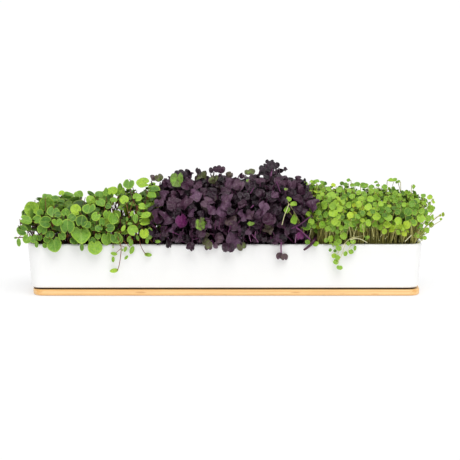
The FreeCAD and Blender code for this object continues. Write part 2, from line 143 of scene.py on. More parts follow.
def oiled_bamboo():
    """Laminated bamboo under oil. Straight fibres half a millimetre apart run along paler and darker strips
    4 mm high, and a darker node crosses a strip here and there. The oil leaves it satin."""
    strip_height, fibre_spacing = 0.0042, 0.0005
    strips_a_metre, fibres_a_metre = 1.2, 14
    knot_size = (0.045, 0.016, 0.007)
    layer_share = 0.4
    material, tree, shader = surface("oiled_bamboo", Roughness=0.42, IOR=1.5)
    place = add(tree, "TexCoord", {})["Object"]
    scale = (strips_a_metre, 1 / strip_height, 1 / strip_height)
    strips = add(tree, "Mapping", {}, ("Vector", place), ("Scale", scale))
    strip_tone = add(tree, "TexNoise", {}, ("Vector", strips[0]), ("Scale", 1.0), ("Roughness", 0.5))["Fac"]
    scale = (fibres_a_metre, 1 / fibre_spacing, 1 / fibre_spacing)
    fibres = add(tree, "Mapping", {}, ("Vector", place), ("Scale", scale))
    fibre_tone = add(tree, "TexNoise", {}, ("Vector", fibres[0]), ("Scale", 1.0), ("Detail", 3.0))["Fac"]
    stops = [(0.25, "#F0B765"), (0.42, "#FACB88"), (0.58, "#FFDAA0"), (0.78, "#F6C47A")]
    base = add(tree, "ValToRGB", {"stops": stops}, ("Fac", strip_tone))["Color"]
    stops = [(0.3, "#DBA768"), (0.55, "#FFFFFF")]
    fine = add(tree, "ValToRGB", {"stops": stops}, ("Fac", fibre_tone))["Color"]
    knots = add(tree, "Mapping", {}, ("Vector", place), ("Scale", [1 / size for size in knot_size]))
    knot = add(tree, "TexVoronoi", {}, ("Vector", knots[0]), ("Scale", 1.0))["Distance"]
    stops = [(0.0, "#C08A50"), (0.07, "#C08A50"), (0.16, "#FFFFFF")]
    knot_tone = add(tree, "ValToRGB", {"stops": stops}, ("Fac", knot))["Color"]
    multiply = {"data_type": "RGBA", "blend_type": "MULTIPLY"}
    for tone in (fine, knot_tone):
        base = add(tree, "Mix", multiply, (0, layer_share), (6, base), (7, tone))[2]
    tree.links.new(base, shader.inputs["Base Color"])
    bump = add(tree, "Bump", {}, ("Strength", 0.25), ("Distance", 0.0002), ("Height", fibre_tone))
    tree.links.new(bump[0], shader.inputs["Normal"])
    return material


wear(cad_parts["bamboo_tray"], oiled_bamboo())


# Trough: slip-cast stoneware under a thick white glaze, with a rounded lip and softly rounded corners.
# It is fired in one piece with its foot ring, which stands in the tray's pocket.
def white_glaze():
    """Fired white glaze: near white and glossy, with the slow waviness of glass that flowed as it melted. It
    stops just above the foot ring, where the stoneware is bare and matt; its dark brown there is partly
    painted shade, standing in for the shadow in the gap over the tray."""
    wave_length = 0.035
    glaze_foot, glaze_blend = 0.0089, 0.0002
    glossy, matt = 0.16, 0.76
    material, tree, shader = surface("white_glaze", Roughness=glossy, IOR=1.52)
    place = add(tree, "TexCoord", {})["Object"]
    wave = add(tree, "TexNoise", {}, ("Vector", place), ("Scale", 1 / wave_length))["Fac"]
    stops = [(0.3, "#FAFAF9"), (0.7, "#FDFDFC")]
    glaze = add(tree, "ValToRGB", {"stops": stops}, ("Fac", wave))["Color"]
    height = add(tree, "SeparateXYZ", {}, (0, place))["Z"]
    clamped = {"operation": "MULTIPLY_ADD", "use_clamp": True}
    # Below the glaze line the foot is matt and dark brown: bare stoneware, with painted shade for the shadow in
    # the gap over the tray
    bare_shaded_foot = add(tree, "Math", clamped, (0, height), (1, -1 / glaze_blend), (2, glaze_foot / glaze_blend))[0]
    base = add(tree, "Mix", {"data_type": "RGBA"}, (0, bare_shaded_foot), (6, glaze), (7, "#4E3A2A"))[2]
    tree.links.new(base, shader.inputs["Base Color"])
    rough = add(tree, "Math", {"operation": "MULTIPLY_ADD"}, (0, bare_shaded_foot), (1, matt - glossy), (2, glossy))[0]
    tree.links.new(rough, shader.inputs["Roughness"])
    bump = add(tree, "Bump", {}, ("Strength", 0.2), ("Distance", 0.0006), ("Height", wave))
    tree.links.new(bump[0], shader.inputs["Normal"])
    return material


wear(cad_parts["ceramic_trough"], white_glaze())


# Drain screens: small punched discs of black plastic, one over each drain hole.
# They keep the mix in and let the water down into the tray.
def moulded_plastic():
    """Black moulded polypropylene with the fine grain of its tool, 0.7 mm across."""
    grain = 0.0007
    material, tree, shader = surface("moulded_plastic", Roughness=0.55, IOR=1.49)
    place = add(tree, "TexCoord", {})["Object"]
    speck = add(tree, "TexNoise", {}, ("Vector", place), ("Scale", 1 / grain))["Fac"]
    stops = [(0.3, "#151515"), (0.7, "#242424")]
    tone = add(tree, "ValToRGB", {"stops": stops}, ("Fac", speck))["Color"]
    tree.links.new(tone, shader.inputs["Base Color"])
    bump = add(tree, "Bump", {}, ("Strength", 0.2), ("Distance", 0.0001), ("Height", speck))
    tree.links.new(bump[0], shader.inputs["Normal"])
    return material


screen_plastic = moulded_plastic()
for name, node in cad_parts.items():
    if name.startswith("drain_screen"):
        wear(node, screen_plastic)


# Potting mix: coir and compost, pressed into a block by the trough and bound by roots.
# Its top is crumbly, and its sides show fibres and pale roots once it is lifted out.
def coir_mix():
    """Moist coir: dark brown crumbs of about 2 mm, lighter fibres between them, no gloss."""
    crumb = 0.0022
    fibre_size = (0.004, 0.0009, 0.0012)
    material, tree, shader = surface("coir_mix", Roughness=0.9, IOR=1.4)
    place = add(tree, "TexCoord", {})["Object"]
    crumbs = add(tree, "TexVoronoi", {}, ("Vector", place), ("Scale", 1 / crumb))["Distance"]
    fibres = add(tree, "Mapping", {}, ("Vector", place), ("Scale", [1 / size for size in fibre_size]))
    fibre = add(tree, "TexNoise", {}, ("Vector", fibres[0]), ("Scale", 1.0), ("Detail", 4.0))["Fac"]
    stops = [(0.0, "#4A3020"), (0.35, "#33200F"), (0.7, "#1A0F08"), (1.0, "#100A06")]
    tone = add(tree, "ValToRGB", {"stops": stops}, ("Fac", crumbs))["Color"]
    stops = [(0.58, "#000000"), (0.68, "#8A8A8A")]
    threads = add(tree, "ValToRGB", {"stops": stops}, ("Fac", fibre))["Color"]
    tone = add(tree, "Mix", {"data_type": "RGBA"}, (0, threads), (6, tone), (7, "#7A5636"))[2]
    tree.links.new(tone, shader.inputs["Base Color"])
    bump = add(tree, "Bump", {}, ("Strength", 0.9), ("Distance", 0.001), ("Height", crumbs))
    tree.links.new(bump[0], shader.inputs["Normal"])
    return material


def mesh_piece(name, points, faces, material, smooth=True):
    """A new object from points and faces in the frame, with one material."""
    mesh = bpy.data.meshes.new(name)
    mesh.from_pydata([tuple(p) for p in points], [], faces)
    mesh.update()
    mesh.polygons.foreach_set("use_smooth", [smooth] * len(mesh.polygons))
    piece = bpy.data.objects.new(name, mesh)
    bpy.context.scene.collection.objects.link(piece)
    wear(piece, material)
    return piece


def rounded_ring(middle, half_x, half_y, corner, height, count):
    """Points round a rounded rectangle at one height, evenly spaced along it."""
    along, across = half_x - corner, half_y - corner
    quarter = math.pi * corner / 2
    corners = [(along, across), (-along, across), (-along, -across), (along, -across)]
    points = []
    for index in range(count):
        run = 4 * (along + across + quarter) * index / count
        for side, (x, y) in enumerate(corners):
            turn = math.pi / 2 * side
            if run <= quarter:
                angle = turn + run / corner
                points.append((x + corner * math.cos(angle), y + corner * math.sin(angle)))
                break
            run -= quarter
            straight = 2 * (along if side % 2 == 0 else across)
            if run <= straight:
                angle = turn + math.pi / 2
                out_x, out_y = x + corner * math.cos(angle), y + corner * math.sin(angle)
                points.append((out_x - run * math.sin(angle), out_y + run * math.cos(angle)))
                break
            run -= straight
    return np.array([(middle.x + x, middle.y + y, height) for x, y in points])


def bound_mix():
    """The block of mix: a rounded loaf that fills the trough, with a skin of crumbs."""
    low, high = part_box("potting_mix")
    skin, corner, taper, toe, toe_height = 0.0008, 0.0105, 0.0029, 0.0045, 0.004
    brow, least_corner, shelf = 0.0015, 0.002, (0.006, 0.012, 0.018, 0.024, 0.03)
    round_steps, rise_steps = 460, 18
    middle, half = (low + high) / 2, (high - low) / 2
    random = np.random.default_rng(3)
    profile = []
    for step in range(rise_steps + 1):
        share = step / rise_steps
        height = low.z + share * (high.z - low.z)
        inset = taper * (1 - share) + toe * max(0, 1 - (height - low.z) / toe_height) ** 2
        profile.append((inset + (brow if step == rise_steps else 0), height))
    profile += [(inset, high.z) for inset in shelf]
    rings = []
    for inset, height in profile:
        radius = max(corner - inset, least_corner)
        ring = rounded_ring(middle, half.x - inset, half.y - inset, radius, height, round_steps)
        out = ring - np.array(middle)
        out[:, 2] = 0
        out /= np.linalg.norm(out, axis=1)[:, None]
        ring -= out * skin * random.random((round_steps, 1))
        ring[:, 2] -= skin * random.random(round_steps) * (height > low.z)
        rings.append(ring)
    points = np.concatenate(rings)
    faces = []
    for level in range(len(rings) - 1):
        for step in range(round_steps):
            a, b = level * round_steps + step, level * round_steps + (step + 1) % round_steps
            faces.append((a, b, b + round_steps, a + round_steps))
    faces.append(tuple(reversed(range(round_steps))))
    last = (len(rings) - 1) * round_steps
    faces.append(tuple(range(last, last + round_steps)))
    return mesh_piece("root_bound_mix", points, faces, coir_mix())


mix = bound_mix()
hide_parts("potting_mix")
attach(mix, "bed")


# Round-leaf stand, at the left: red-brown branching stems with round, slightly dished leaves on stalks.
# Every leaf is a thin closed blade with a paler rim. The leaves stand on the stand's canopy, and each
# stalk runs to a stem. The nearest leaves follow the photograph one by one, and the others are sown.
class Growth:
    """Gathers the leaves or the stems of one piece: points, faces, and what the material reads at each point."""

    def __init__(self):
        self.points, self.faces, self.place, self.kind = [], [], [], []
        self.count = 0

    def take(self, points, faces, place, kind):
        """Adds one closed shape. place is the spot on the leaf or stem, and kind its tint, shade and side."""
        self.points.append(points)
        self.faces.extend([tuple(i + self.count for i in face) for face in faces])
        self.place.append(place)
        self.kind.append(kind)
        self.count += len(points)

    def piece(self, name, material, slot, *nodes):
        """Makes the piece, smooth but for the leaves' edges, in place of the frame's nodes."""
        edge_angle = math.radians(70)
        made = mesh_piece(name, np.concatenate(self.points), self.faces, material)
        made.data.set_sharp_from_angle(angle=edge_angle)
        for title, values in (("leaf_place", self.place), ("leaf_kind", self.kind)):
            layer = made.data.attributes.new(title, "FLOAT_VECTOR", "POINT")
            layer.data.foreach_set("vector", np.concatenate(values).astype(np.float32).ravel())
        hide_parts(*nodes)
        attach(made, "bed")
        return made


def unit(vector):
    """The vector at length 1."""
    return vector / max(np.linalg.norm(vector), 1e-9)


def unit_rows(vectors):
    """Each row of vectors at length 1."""
    return vectors / np.maximum(np.linalg.norm(vectors, axis=1), 1e-9)[:, None]


def leaf_pattern(outline, spokes, rings):
    """A flat leaf 1 long and about 1 wide, from its stalk at the origin along +Y, as one closed shape.

    outline gives the reach from the leaf's middle at an angle from its tip. The first points are the upper
    side, from the middle out to the shared edge, and the others are the underside without its edge.
    """
    middle = np.array([0.0, 0.5])
    angles = np.linspace(0, math.tau, spokes, endpoint=False)
    reach = np.array([outline(a) for a in angles])
    edge = np.stack([np.sin(angles) * reach, np.cos(angles) * reach], axis=1)
    spots, shares = [middle], [0.0]
    for ring in rings:
        spots.extend(middle + edge * ring)
        shares.extend([ring] * spokes)
    upper = len(spots)
    inner = 1 + spokes * (len(rings) - 1)
    spots.extend(spots[:inner])
    shares.extend(shares[:inner])
    faces = []
    for step in range(spokes):
        after = (step + 1) % spokes
        faces.append((0, 1 + after, 1 + step))
        faces.append((upper, upper + 1 + step, upper + 1 + after))
        for ring in range(len(rings) - 1):
            a, b = 1 + ring * spokes + step, 1 + ring * spokes + after
            far_a, far_b = a + spokes, b + spokes
            faces.append((a, b, far_b, far_a))
            if ring == len(rings) - 2:
                faces.append((far_a, far_b, upper + b, upper + a))
            else:
                faces.append((upper + far_a, upper + far_b, upper + b, upper + a))
    return np.array(spots), np.array(shares), faces, upper


def clear_of_wall(points):
    """Moves the points of a leaf that would pass through the trough's wall. It lies on the lip, or against the
    outside of the wall where it hangs lower."""
    lip, lie, hang = 0.0056, 0.0006, 0.004
    middle = np.array([trough_low.x + trough_high.x, trough_low.y + trough_high.y]) / 2
    half = np.array([trough_high.x - trough_low.x, trough_high.y - trough_low.y]) / 2
    inside = half - np.abs(points[:, :2] - middle)
    over = (inside.min(axis=1) > 0) & (inside.min(axis=1) < lip)
    low = over & (points[:, 2] < rim_height - hang)
    points[over & ~low, 2] = np.maximum(points[over & ~low, 2], rim_height + lie)
    for axis in (0, 1):
        near = low & (inside[:, axis] < lip)
        side = np.sign(points[near, axis] - middle[axis])
        points[near, axis] = middle[axis] + side * (half[axis] + lie)
    return points


def grow_leaf(growth, pattern, start, along, facing, size, bend, tint, shade):
    """Adds one leaf. along runs from its stalk to its tip, facing is its upper side, and bend is its dish,
    fold, droop and wave as shares of its length, and the phase of the wave."""
    thickness, thinning, narrowing, waves = 0.0004, 0.6, 0.35, 3
    crease_round, crease_level = 0.004, 0.063
    pucker_depth, puckers_across, puckers_along, pucker_shift = 0.7, 8, 7, 1.7
    spots, shares, faces, upper = pattern
    dish, fold, droop, wave, phase = bend
    across = unit(np.cross(along, facing))
    facing = unit(np.cross(across, along))
    x, y = spots[:, 0], spots[:, 1]
    crease = np.sqrt(x**2 + crease_round) - crease_level
    ripple = np.sin(waves * np.arctan2(x, y - 0.5) + phase)
    pucker = pucker_depth * np.sin(puckers_across * x + phase)
    pucker = pucker * np.sin(puckers_along * y + pucker_shift * phase)
    lift = dish * shares**2 + fold * crease + droop * y**2 + wave * (shares**3 * ripple + pucker)
    draw = 1 - abs(fold) * narrowing
    points = start + size * (draw * x[:, None] * across + y[:, None] * along + lift[:, None] * facing)
    points[upper:] -= facing * thickness * (1 - thinning * shares[upper:, None] ** 2)
    under = np.zeros(len(spots))
    under[upper:] = 1
    place = np.stack([x, y, shares], axis=1)
    kind = np.stack([np.full(len(spots), tint), np.full(len(spots), shade), under], axis=1)
    growth.take(clear_of_wall(points), faces, place, kind)


def grow_stem(growth, path, first_radius, last_radius, tint, shade, sides=5):
    """Adds a stem or stalk along a path of points, closed at both ends."""
    aslant = np.array([0.31, 0.95, 0.05])
    path = np.asarray(path, float)
    count = len(path)
    ways = unit_rows(np.gradient(path, axis=0))
    side = unit_rows(np.cross(ways, aslant))
    other = np.cross(ways, side)
    turn = np.linspace(0, math.tau, sides, endpoint=False)
    radii = np.linspace(first_radius, last_radius, count)[:, None, None]
    rings = np.cos(turn)[None, :, None] * side[:, None] + np.sin(turn)[None, :, None] * other[:, None]
    points = (path[:, None] + radii * rings).reshape(-1, 3)
    faces = []
    for ring in range(count - 1):
        for step in range(sides):
            a, b = ring * sides + step, ring * sides + (step + 1) % sides
            faces.append((a, b, b + sides, a + sides))
    faces.append(tuple(reversed(range(sides))))
    faces.append(tuple(range((count - 1) * sides, count * sides)))
    run = np.repeat(np.linspace(0, 1, count), sides)
    place = np.stack([np.tile(turn, count), run, np.ones(len(run))], axis=1)
    kind = np.stack([np.full(len(run), tint), np.full(len(run), shade), np.zeros(len(run))], axis=1)
    growth.take(points, faces, place, kind)


def curve(start, control, end, steps):
    """Points along a quadratic curve."""
    share = np.linspace(0, 1, steps)[:, None]
    return (1 - share) ** 2 * start + 2 * share * (1 - share) * control + share**2 * end


mm = 0.001
wall_zone = 62
past_lip = [1, 1.06, 1]
phases = (0, 6)
mix_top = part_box("potting_mix")[1].z
up = np.array([0.0, 0.0, 1.0])
eye = np.array(camera.location)
canopies = {}
for stand in ("roundleaf", "radish", "cress"):
    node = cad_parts[stand + "_canopy"]
    canopies[stand] = BVHTree.FromObject(node, bpy.context.evaluated_depsgraph_get())


def seen_place(x, z, proud):
    """Where the line of sight through a spot of the trough's front plane meets the growth. Where it meets none,
    a place is scattered about the stand's middle, or lies on the trough's front. proud is how far in front it is.
    """
    wander, wander_x, wander_z, clear = 0.018, 1900, 1300, 0.01
    way = unit(np.array([x, trough_low.y, z]) - eye)
    hits = [tree.ray_cast(Vector(eye), Vector(way))[3] for tree in canopies.values()]
    reach = min((distance for distance in hits if distance is not None), default=None)
    if reach is None:
        scatter = wander * math.sin(wander_x * x + wander_z * z)
        depth = scatter if z > rim_height + clear else trough_low.y - proud
        return eye + way * ((depth - eye[1]) / way[1])
    return eye + way * (reach - proud)


def stand_off(wide, high, z):
    """How far in front of the growth a leaf's middle lies. A leaf below the wall zone's top, in millimetres,
    hangs in front of the trough's wall, and lies outside it however it leans."""
    proud = 0.002
    lean = math.sqrt(1 - (min(wide, high) / max(wide, high)) ** 2)
    return proud + (max(wide, high) * mm * lean / 2 if z < wall_zone else 0)


def seen_stems(growth, rows):
    """Adds stems that the photograph shows. A row holds a stem's tenths of a millimetre across, its tint in
    hundredths, and then places that it runs through, each as across and height in millimetres. A broad strap
    tapers more than a stem. The path's corners are cut twice, a quarter of the way along each side."""
    proud, strap, corner = 0.004, 30, 0.25
    for across, tint, *spots in rows:
        path = np.array([seen_place(x * mm, z * mm, proud) for x, z in zip(spots[::2], spots[1::2])])
        for _ in range(2):
            before, after = path[:-1], path[1:]
            ends = [before * (1 - corner) + after * corner, before * corner + after * (1 - corner)]
            path = np.vstack([path[:1], np.stack(ends, axis=1).reshape(-1, 3), path[-1:]])
        end_part = 24 if across < strap else 40
        grow_stem(growth, path, across * mm / 20, across * mm / end_part, tint / 100, 0)


def seen_pose(wide, high, tip, hand):
    """Facing and tip direction of a leaf whose outline looks wide by high from the front."""
    tilt_share, aside, upward = 0.95, 0.12, 0.15
    share = min(wide, high) / max(wide, high)
    tilt = math.acos(min(share, 1.0)) * tilt_share
    if wide >= high:
        facing = np.array([aside * hand, -math.cos(tilt), math.sin(tilt)])
    else:
        facing = np.array([hand * math.sin(tilt), -math.cos(tilt), upward])
    facing = unit(facing)
    along = np.array([math.sin(tip), 0.0, math.cos(tip)])
    return facing, unit(along - facing * np.dot(along, facing))


def front_spot(place):
    """Where a place shows on the trough's front plane."""
    way = place - eye
    return (eye + way * ((trough_low.y - eye[1]) / way[1]))[[0, 2]]


def seen_leaf(covered, x, z, wide, high, along, nearer=0.0):
    """A shown leaf's size and the place where its stalk joins it. Notes in covered what the leaf covers."""
    covered_share = 0.42
    size = max(wide, high) * mm
    middle = seen_place(x * mm, z * mm, stand_off(wide, high, z) + nearer)
    covered.append((*front_spot(middle), size * covered_share))
    return size, middle - along * size * 0.5


def drawn(random, *values):
    """The values, with a random one for each that is given as a range."""
    return [random.uniform(*value) if isinstance(value, tuple) else value for value in values]


def painted_depth_shade(share, fall, random):
    """How much painted shade a sown leaf gets for its place, given as a share of the canopy's depth. The painted
    shade grows from lit inwards, in place of the shade deep in the stand.
    """
    lit = 0.92
    return min(1.0, max(0.0, (lit - share) * fall)) * random.uniform(0.7, 1.0)


def sown_places(stand, count, random, ends, depths, front, shown, gaps, leaf):
    """Places in and on a canopy, spread evenly, each with its way out and its depth as a share of it.

    ends says whether the left and right ends are open, depths is the range of the depth, and front the one
    that faces the camera. A place that would hide or overtop the shown leaves, each a spot on the front plane
    with its reach, is moved in behind them. None lies behind a gap, given as across, height and radius in
    millimetres on the front plane. leaf is how far a leaf reaches from its place.
    """
    low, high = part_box(stand + "_canopy")
    shown, gaps = np.array(shown), np.array(gaps) * mm
    cap, cap_lean, cap_slope, reach, inset, edge = 0.045, 0.3, 1.5, 0.032, 0.004, 0.001
    tries, behind, deep, back, clear = 6, 0.78, 0.55, 0.012, 0.002
    column, crest, least_rise, centre_height = 0.006, 0.6, 0.006, 0.38
    around = (math.radians(-30), math.radians(210))
    height = low.z + centre_height * (high.z - low.z)
    first, last = low.x + cap * ends[0], high.x - cap * ends[1]
    left, right = low.x - (reach if ends[0] else inset), high.x + (reach if ends[1] else inset)
    places, ways, shares = np.empty((0, 3)), [], []
    for _ in range(count):
        best = None
        for _ in range(tries):
            x, angle, share = drawn(random, (left, right), around, depths)
            beyond = 0
            if x > last and ends[1]:
                beyond = (x - last) / cap
            elif x < first and ends[0]:
                beyond = (x - first) / cap
            centre = np.array([min(max(x, first), last) + beyond * cap * cap_lean if beyond else x, 0, height])
            way = unit(np.array([cap_slope * beyond, -math.cos(angle), math.sin(angle)]))
            centre[0] = min(max(centre[0], low.x + edge), high.x - edge)
            distance = canopies[stand].ray_cast(Vector(centre), Vector(way))[3]
            if distance is None:
                continue
            spot = centre + way * distance * share
            if (np.linalg.norm(gaps[:, :2] - front_spot(spot), axis=1) < gaps[:, 2] + leaf / 2).any():
                continue
            if spot[1] < back and share > behind:
                away = np.linalg.norm(shown[:, :2] - front_spot(spot), axis=1) - shown[:, 2]
                share = random.uniform(*(front if away.min() > clear else (deep, behind)))
                spot = centre + way * distance * share
            across, height_seen = front_spot(spot)
            near = shown[np.abs(shown[:, 0] - across) < column]
            over = height_seen - (near[:, 1] + crest * near[:, 2]).max() + leaf if len(near) else 0
            if over > 0:
                spot[2] = max(spot[2] - over, rim_height + least_rise)
                share -= over / distance
            gap = np.linalg.norm(places - spot, axis=1).min() if len(places) else 1.0
            if best is None or gap > best[0]:
                best = (gap, spot, way, share)
        if best:
            places = np.vstack([places, best[1]])
            ways.append(best[2])
            shares.append(best[3])
    return zip(places, ways, shares)


def leaf_skin(name, tones, vein, rim, rim_share, underside, ribs, roughness, gloss, mottle, crumple_size, relief):
    """A living leaf: waxy skin over soft tissue. Its tint differs from leaf to leaf and in small mottles, its
    midrib and side veins are paler and slightly raised, its skin puckers between them, its rim is paler, and
    its underside is duller. mottle is the share of the tints that a mottle spans, and relief the depth of the
    puckers."""
    midrib_fall, rib_sharpness, rib_share, vein_share = 16.0, 14.0, 0.5, 0.4
    edge_rise, dull_share, pucker_share = 5.0, 0.55, 3.0
    plain = {"data_type": "RGBA"}
    multiply = {"data_type": "RGBA", "blend_type": "MULTIPLY"}
    clamped = {"operation": "MULTIPLY_ADD", "use_clamp": True}
    material, tree, shader = surface(name, **{"Roughness": roughness, "IOR": 1.42, "Specular IOR Level": gloss})
    place = add(tree, "Attribute", {"attribute_name": "leaf_place"})["Vector"]
    kind = add(tree, "Attribute", {"attribute_name": "leaf_kind"})["Vector"]
    x, y, ring = add(tree, "SeparateXYZ", {}, (0, place))
    tint, shade, under = add(tree, "SeparateXYZ", {}, (0, kind))
    spot = add(tree, "TexCoord", {})["Object"]
    pucker = add(tree, "TexNoise", {}, ("Vector", spot), ("Scale", 1 / crumple_size))["Fac"]
    uneven = add(tree, "Math", {"operation": "MULTIPLY_ADD"}, (0, pucker), (1, mottle), (2, -mottle / 2))[0]
    tint = add(tree, "Math", {"operation": "ADD"}, (0, tint), (1, uneven))[0]
    colour = add(tree, "ValToRGB", {"stops": tones}, ("Fac", tint))["Color"]
    side = add(tree, "Math", {"operation": "ABSOLUTE"}, (0, x))[0]
    midrib = add(tree, "Math", clamped, (0, side), (1, -midrib_fall), (2, 1.0))[0]
    rib_steps = (("SUBTRACT", side), ("MULTIPLY", ribs), ("SINE",), ("ABSOLUTE",), ("POWER", rib_sharpness))
    veins = y
    for step, *value in (*rib_steps, ("MULTIPLY", rib_share), ("MAXIMUM", midrib), ("MULTIPLY", vein_share)):
        veins = add(tree, "Math", {"operation": step}, (0, veins), *enumerate(value, 1))[0]
    edge = add(tree, "Math", clamped, (0, ring), (1, edge_rise), (2, 1 - edge_rise))[0]
    edge = add(tree, "Math", {"operation": "MULTIPLY"}, (0, edge), (1, rim_share))[0]
    dull = add(tree, "Math", {"operation": "MULTIPLY"}, (0, under), (1, dull_share))[0]
    for share, other in ((veins, vein), (edge, rim), (dull, underside)):
        colour = add(tree, "Mix", plain, (0, share), (6, colour), (7, other))[2]
    # Painted shade: a leaf is darkened towards olive black by its shade value, which stands for how deep it lies
    # in the stand
    painted_shade = add(tree, "Mix", plain, (0, shade), (6, "#FFFFFF"), (7, "#343422"))[2]
    colour = add(tree, "Mix", multiply, (0, 1.0), (6, colour), (7, painted_shade))[2]
    tree.links.new(colour, shader.inputs["Base Color"])
    height = add(tree, "Math", {"operation": "MULTIPLY_ADD"}, (0, pucker), (1, pucker_share), (2, veins))[0]
    bump = add(tree, "Bump", {}, ("Strength", 0.6), ("Distance", relief), ("Height", height))
    tree.links.new(bump[0], shader.inputs["Normal"])
    return material


def stem_skin(name, tones):
    """A fleshy young stem: smooth, slightly glossy, with faint streaks along it."""
    streaks, streak_share = 3.0, 0.4
    material, tree, shader = surface(name, Roughness=0.38, IOR=1.4)
    place = add(tree, "Attribute", {"attribute_name": "leaf_place"})["Vector"]
    kind = add(tree, "Attribute", {"attribute_name": "leaf_kind"})["Vector"]
    tint, shade = add(tree, "SeparateXYZ", {}, (0, kind))[:2]
    streak = add(tree, "TexNoise", {}, ("Vector", place), ("Scale", streaks))["Fac"]
    spread = {"operation": "MULTIPLY_ADD"}
    uneven = add(tree, "Math", spread, (0, streak), (1, streak_share), (2, -streak_share / 2))[0]
    tint = add(tree, "Math", {"operation": "ADD"}, (0, tint), (1, uneven))[0]
    colour = add(tree, "ValToRGB", {"stops": tones}, ("Fac", tint))["Color"]
    # Painted shade: a stem is darkened towards dark brown by its shade value, for the shade inside the stand
    painted_shade = add(tree, "Mix", {"data_type": "RGBA"}, (0, shade), (6, "#FFFFFF"), (7, "#322A22"))[2]
    multiply = {"data_type": "RGBA", "blend_type": "MULTIPLY"}
    colour = add(tree, "Mix", multiply, (0, 1.0), (6, colour), (7, painted_shade))[2]
    tree.links.new(colour, shader.inputs["Base Color"])
    return material


def round_outline(angle):
    """A nearly round leaf with a narrow cleft where its stalk joins it."""
    ripple, ripples, cleft, cleft_width = 0.02, 5, 0.5, 0.2
    cleft *= math.exp(-((abs(math.pi - angle) / cleft_width) ** 2))
    return 0.5 * (1 + ripple * math.cos(ripples * angle)) * (1 - cleft)


def oval_outline(angle):
    """A small pointed oval leaf, a little over half as wide as it is long."""
    breadth, point, point_width = 0.56, 0.08, 0.3
    from_tip = min(angle, math.tau - angle)
    oval = breadth / math.hypot(breadth * math.cos(angle), math.sin(angle))
    return 0.5 * oval * (1 - point + point * math.exp(-((from_tip / point_width) ** 2)))


def main_stems(growth, stand, random, pitch, radius, spread, lean, top_share, tints, painted_shade):
    """Stems in rows over the bed, fanned out under a canopy: spread towards front and back, and lean at the ends.
    They end at a share of the canopy's height. Returns the points that stalks can leave from."""
    root, jog_share, wobble, sag, taper, steps = 0.001, 0.4, 0.003, 0.2, 0.6, 7
    above, side_share, heights = 0.1, 0.4, (0.85, 1.05)
    low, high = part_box(stand + "_canopy")
    bed_low, bed_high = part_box(stand + "_stem_mass")
    size = bed_high - bed_low
    rows, columns = int(size.y / pitch), int(size.x / pitch)
    nodes = []
    for row in range(rows + 1):
        for column in range(columns):
            jog = random.uniform(-jog_share, jog_share, 2) * pitch
            x = bed_low.x + (column + 0.5) * size.x / columns + jog[0]
            y = bed_low.y + row * size.y / rows + jog[1]
            across = 2 * (x - bed_low.x) / size.x - 1
            fan = high.x - bed_high.x if across > 0 else bed_low.x - low.x
            foot = np.array([x, y, mix_top - root])
            tip = np.array([x + math.copysign(max(fan, 0) * lean, across) * abs(across) ** 3, y * spread, 0])
            drop = canopies[stand].ray_cast(Vector((tip[0], tip[1], high.z + above)), Vector((0, 0, -1)))[0]
            top = drop.z if drop else low.z + side_share * (high.z - low.z)
            tip[2] = mix_top + (top - mix_top) * top_share * random.uniform(*heights)
            bend = foot + (tip - foot) * 0.5 + random.normal(0, wobble, 3)
            bend[1] -= (tip[1] - foot[1]) * sag
            path = curve(foot, bend, tip, steps)
            # Each stem gets a random amount of painted shade, up to painted_shade, for the shade under the canopy
            grow_stem(growth, path, radius, radius * taper, random.uniform(*tints), painted_shade * random.random())
            nodes.append(path)
    return np.concatenate(nodes)


def stalk_from(nodes, end, drop, random):
    """The path of a stalk up to a leaf, from the stem nearest to a place that lies drop below the leaf. It runs
    over the lip where the leaf hangs outside."""
    wall, near_rim, over_lip, inward, uphill, sway = 0.006, 0.004, 0.003, 0.15, 0.03, (-0.08, 0.22)
    hangs = end[2] < rim_height + near_rim and not (trough_low.y + wall < end[1] < trough_high.y - wall)
    goal = end - up * drop
    if hangs:
        lip = np.array([end[0], math.copysign(trough_high.y - over_lip, end[1]), rim_height + over_lip])
        goal = lip - np.array([0, lip[1] * inward, -near_rim])
    far = np.linalg.norm(nodes - goal, axis=1) + uphill * (nodes[:, 2] > max(end[2], goal[2]))
    start = nodes[np.argmin(far)]
    control = (start + end) / 2 + up * random.uniform(*sway) * np.linalg.norm(end - start)
    if hangs:
        inner = curve(start, (start + lip) / 2 + up * over_lip, lip, 4)
        return np.vstack([inner, curve(lip, lip * past_lip, end, 4)[1:]])
    return curve(start, control, end, 6)


